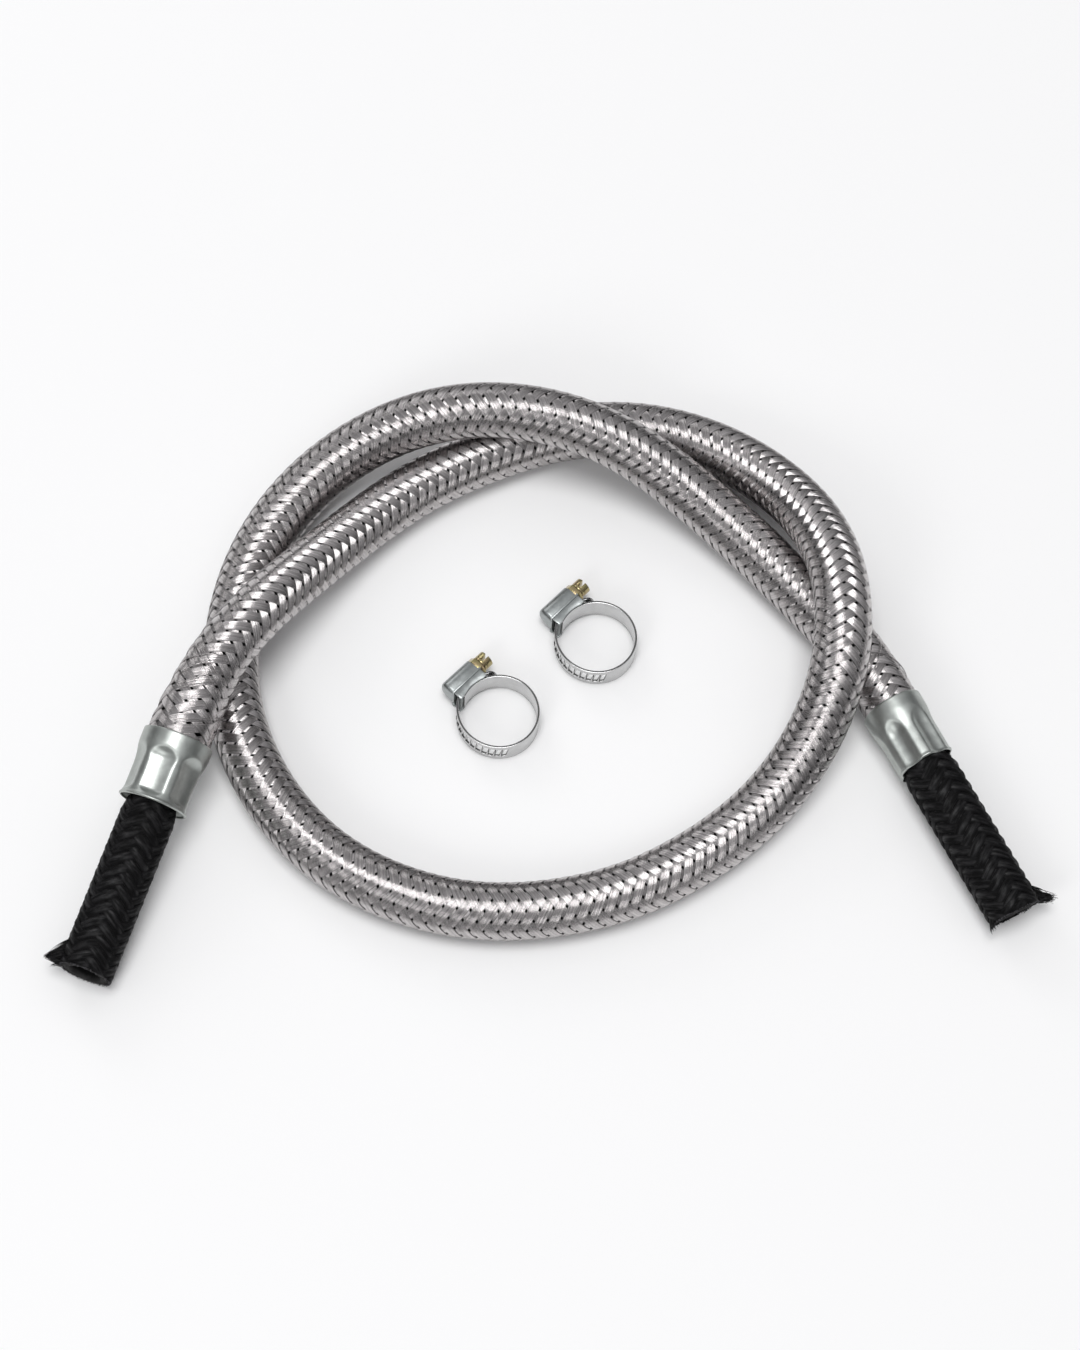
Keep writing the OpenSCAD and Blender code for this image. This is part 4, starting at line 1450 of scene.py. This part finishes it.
class CLAMP_OT_screws(PieceOperator, bpy.types.Operator):
    """Turn the worm screws, with their hexagon collars and slotted heads."""

    bl_idname = "clamp.screws"
    bl_label = "Worm Screws"

    lap = 0.0001  # how far one part of the screw reaches into the next
    edge = 0.0002  # rounding of the edges

    def execute(self, context):
        for clamp, sizes in each_clamp(context):
            bm = new_bmesh()
            long = sizes.housing_length
            start = -long / 2 + sizes.housing_sheet + sizes.gap
            collar = long / 2 + sizes.gap
            head = collar + sizes.collar_length
            base = head + sizes.head_length - sizes.driver_depth
            self.add_bar(bm, start, collar, sizes.worm_root, 40)
            self.add_bar(bm, collar, head, sizes.collar_flats / math.sqrt(3), 6)
            self.add_bar(bm, head - self.lap, head + sizes.neck, sizes.worm_root, 40)
            self.add_bar(bm, head + sizes.neck - self.lap, base, sizes.head_radius, 48)
            self.add_lobes(bm, base - self.lap / 2, sizes)
            bevel(bm, hard_edges(bm, 35), self.edge, 3)
            self.add_thread(bm, start, collar, sizes)
            along = Matrix.Translation((0, clamp.worm, 0)) @ Matrix.Rotation(math.pi / 2, 4, "Y")
            clamp.add(bm, "worm", "screw_yellow", "screw", "_screw", clamp.place @ along)
        return {"FINISHED"}

    def add_disc(self, bm, start, radius, segments):
        """Adds a round or hexagon disc across the screw."""
        disc = bmesh.ops.create_circle(bm, cap_ends=True, segments=segments, radius=radius)["verts"]
        bmesh.ops.translate(bm, vec=(0, 0, start), verts=disc)
        return disc

    def add_bar(self, bm, start, stop, radius, segments):
        """Adds a round or hexagon bar along the screw."""
        before = set(bm.faces)
        self.add_disc(bm, start, radius, segments)
        thicken(bm, new_faces(bm, before), (0, 0, stop - start))

    def add_lobes(self, bm, base, sizes):
        """Adds the two lobes that stand on either side of the screwdriver slot."""
        for hand in (-1, 1):
            before = set(bm.faces)
            disc = self.add_disc(bm, base, sizes.head_radius, 48)
            faces = new_faces(bm, before)
            edges = [edge for face in faces for edge in face.edges]
            bmesh.ops.bisect_plane(bm, geom=disc + edges + faces, plane_no=(0, hand, 0),
                                   plane_co=(0, hand * sizes.driver_width / 2, 0), clear_inner=True)
            thicken(bm, new_faces(bm, before), (0, 0, sizes.driver_depth))

    def add_thread(self, bm, start, stop, sizes):
        """Winds the worm's thread round its core."""
        pitch = sizes.slot_pitch
        turned = math.floor((stop - start) / pitch * 4) / 4 - 0.5
        low, high = sizes.worm_root - self.lap, sizes.worm_radius
        flanks = ((low, -0.35), (high, -0.16), (high, 0.16), (low, 0.35))  # radii and shares of the pitch
        section = [(r, start + (0.4 + share) * pitch) for r, share in flanks]
        spin_section(bm, section, round(32 * turned), turned, turned * pitch)
        fill_ends(bm)


OPERATORS = (
    HOSE_OT_stage, HOSE_OT_braid, HOSE_OT_strays, HOSE_OT_ferrules, HOSE_OT_liners, HOSE_OT_covers,
    HOSE_OT_frays, HOSE_OT_core,
    CLAMP_OT_bands, CLAMP_OT_tails, CLAMP_OT_saddles, CLAMP_OT_housings, CLAMP_OT_screws,
)


class HOSE_PT_panel(bpy.types.Panel):
    """Lists the pieces of the hose and its clamps."""

    bl_idname = "HOSE_PT_panel"
    bl_label = "Braided Hose"
    bl_space_type = "VIEW_3D"
    bl_region_type = "UI"
    bl_category = "Hose"

    def draw(self, context):
        for operator in OPERATORS:
            self.layout.operator(operator.bl_idname)
        for name, group in GROUPS.items():
            box = self.layout.box()
            box.label(text=group.__doc__)
            for prop in group.__annotations__:
                box.prop(getattr(context.scene, name), prop)


CLASSES = (*GROUPS.values(), *OPERATORS, HOSE_PT_panel)


def register():
    """Adds the classes and the scene's property groups."""
    for cls in CLASSES:
        bpy.utils.register_class(cls)
    for name, group in GROUPS.items():
        setattr(bpy.types.Scene, name, PointerProperty(type=group))


def unregister():
    """Takes them out again."""
    for name in GROUPS:
        delattr(bpy.types.Scene, name)
    for cls in reversed(CLASSES):
        bpy.utils.unregister_class(cls)


def main():
    """Makes every piece in order and notes the boxes of the solids and of the looks."""
    register()
    for operator in OPERATORS:
        family, action = operator.bl_idname.split(".")
        getattr(getattr(bpy.ops, family), action)()
    with open("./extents.json", "w") as sizes:
        json.dump({"cad": CAD_BOX, "visual": [list(corner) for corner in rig.bounds()]}, sizes)


if __name__ == "__main__":
    main()
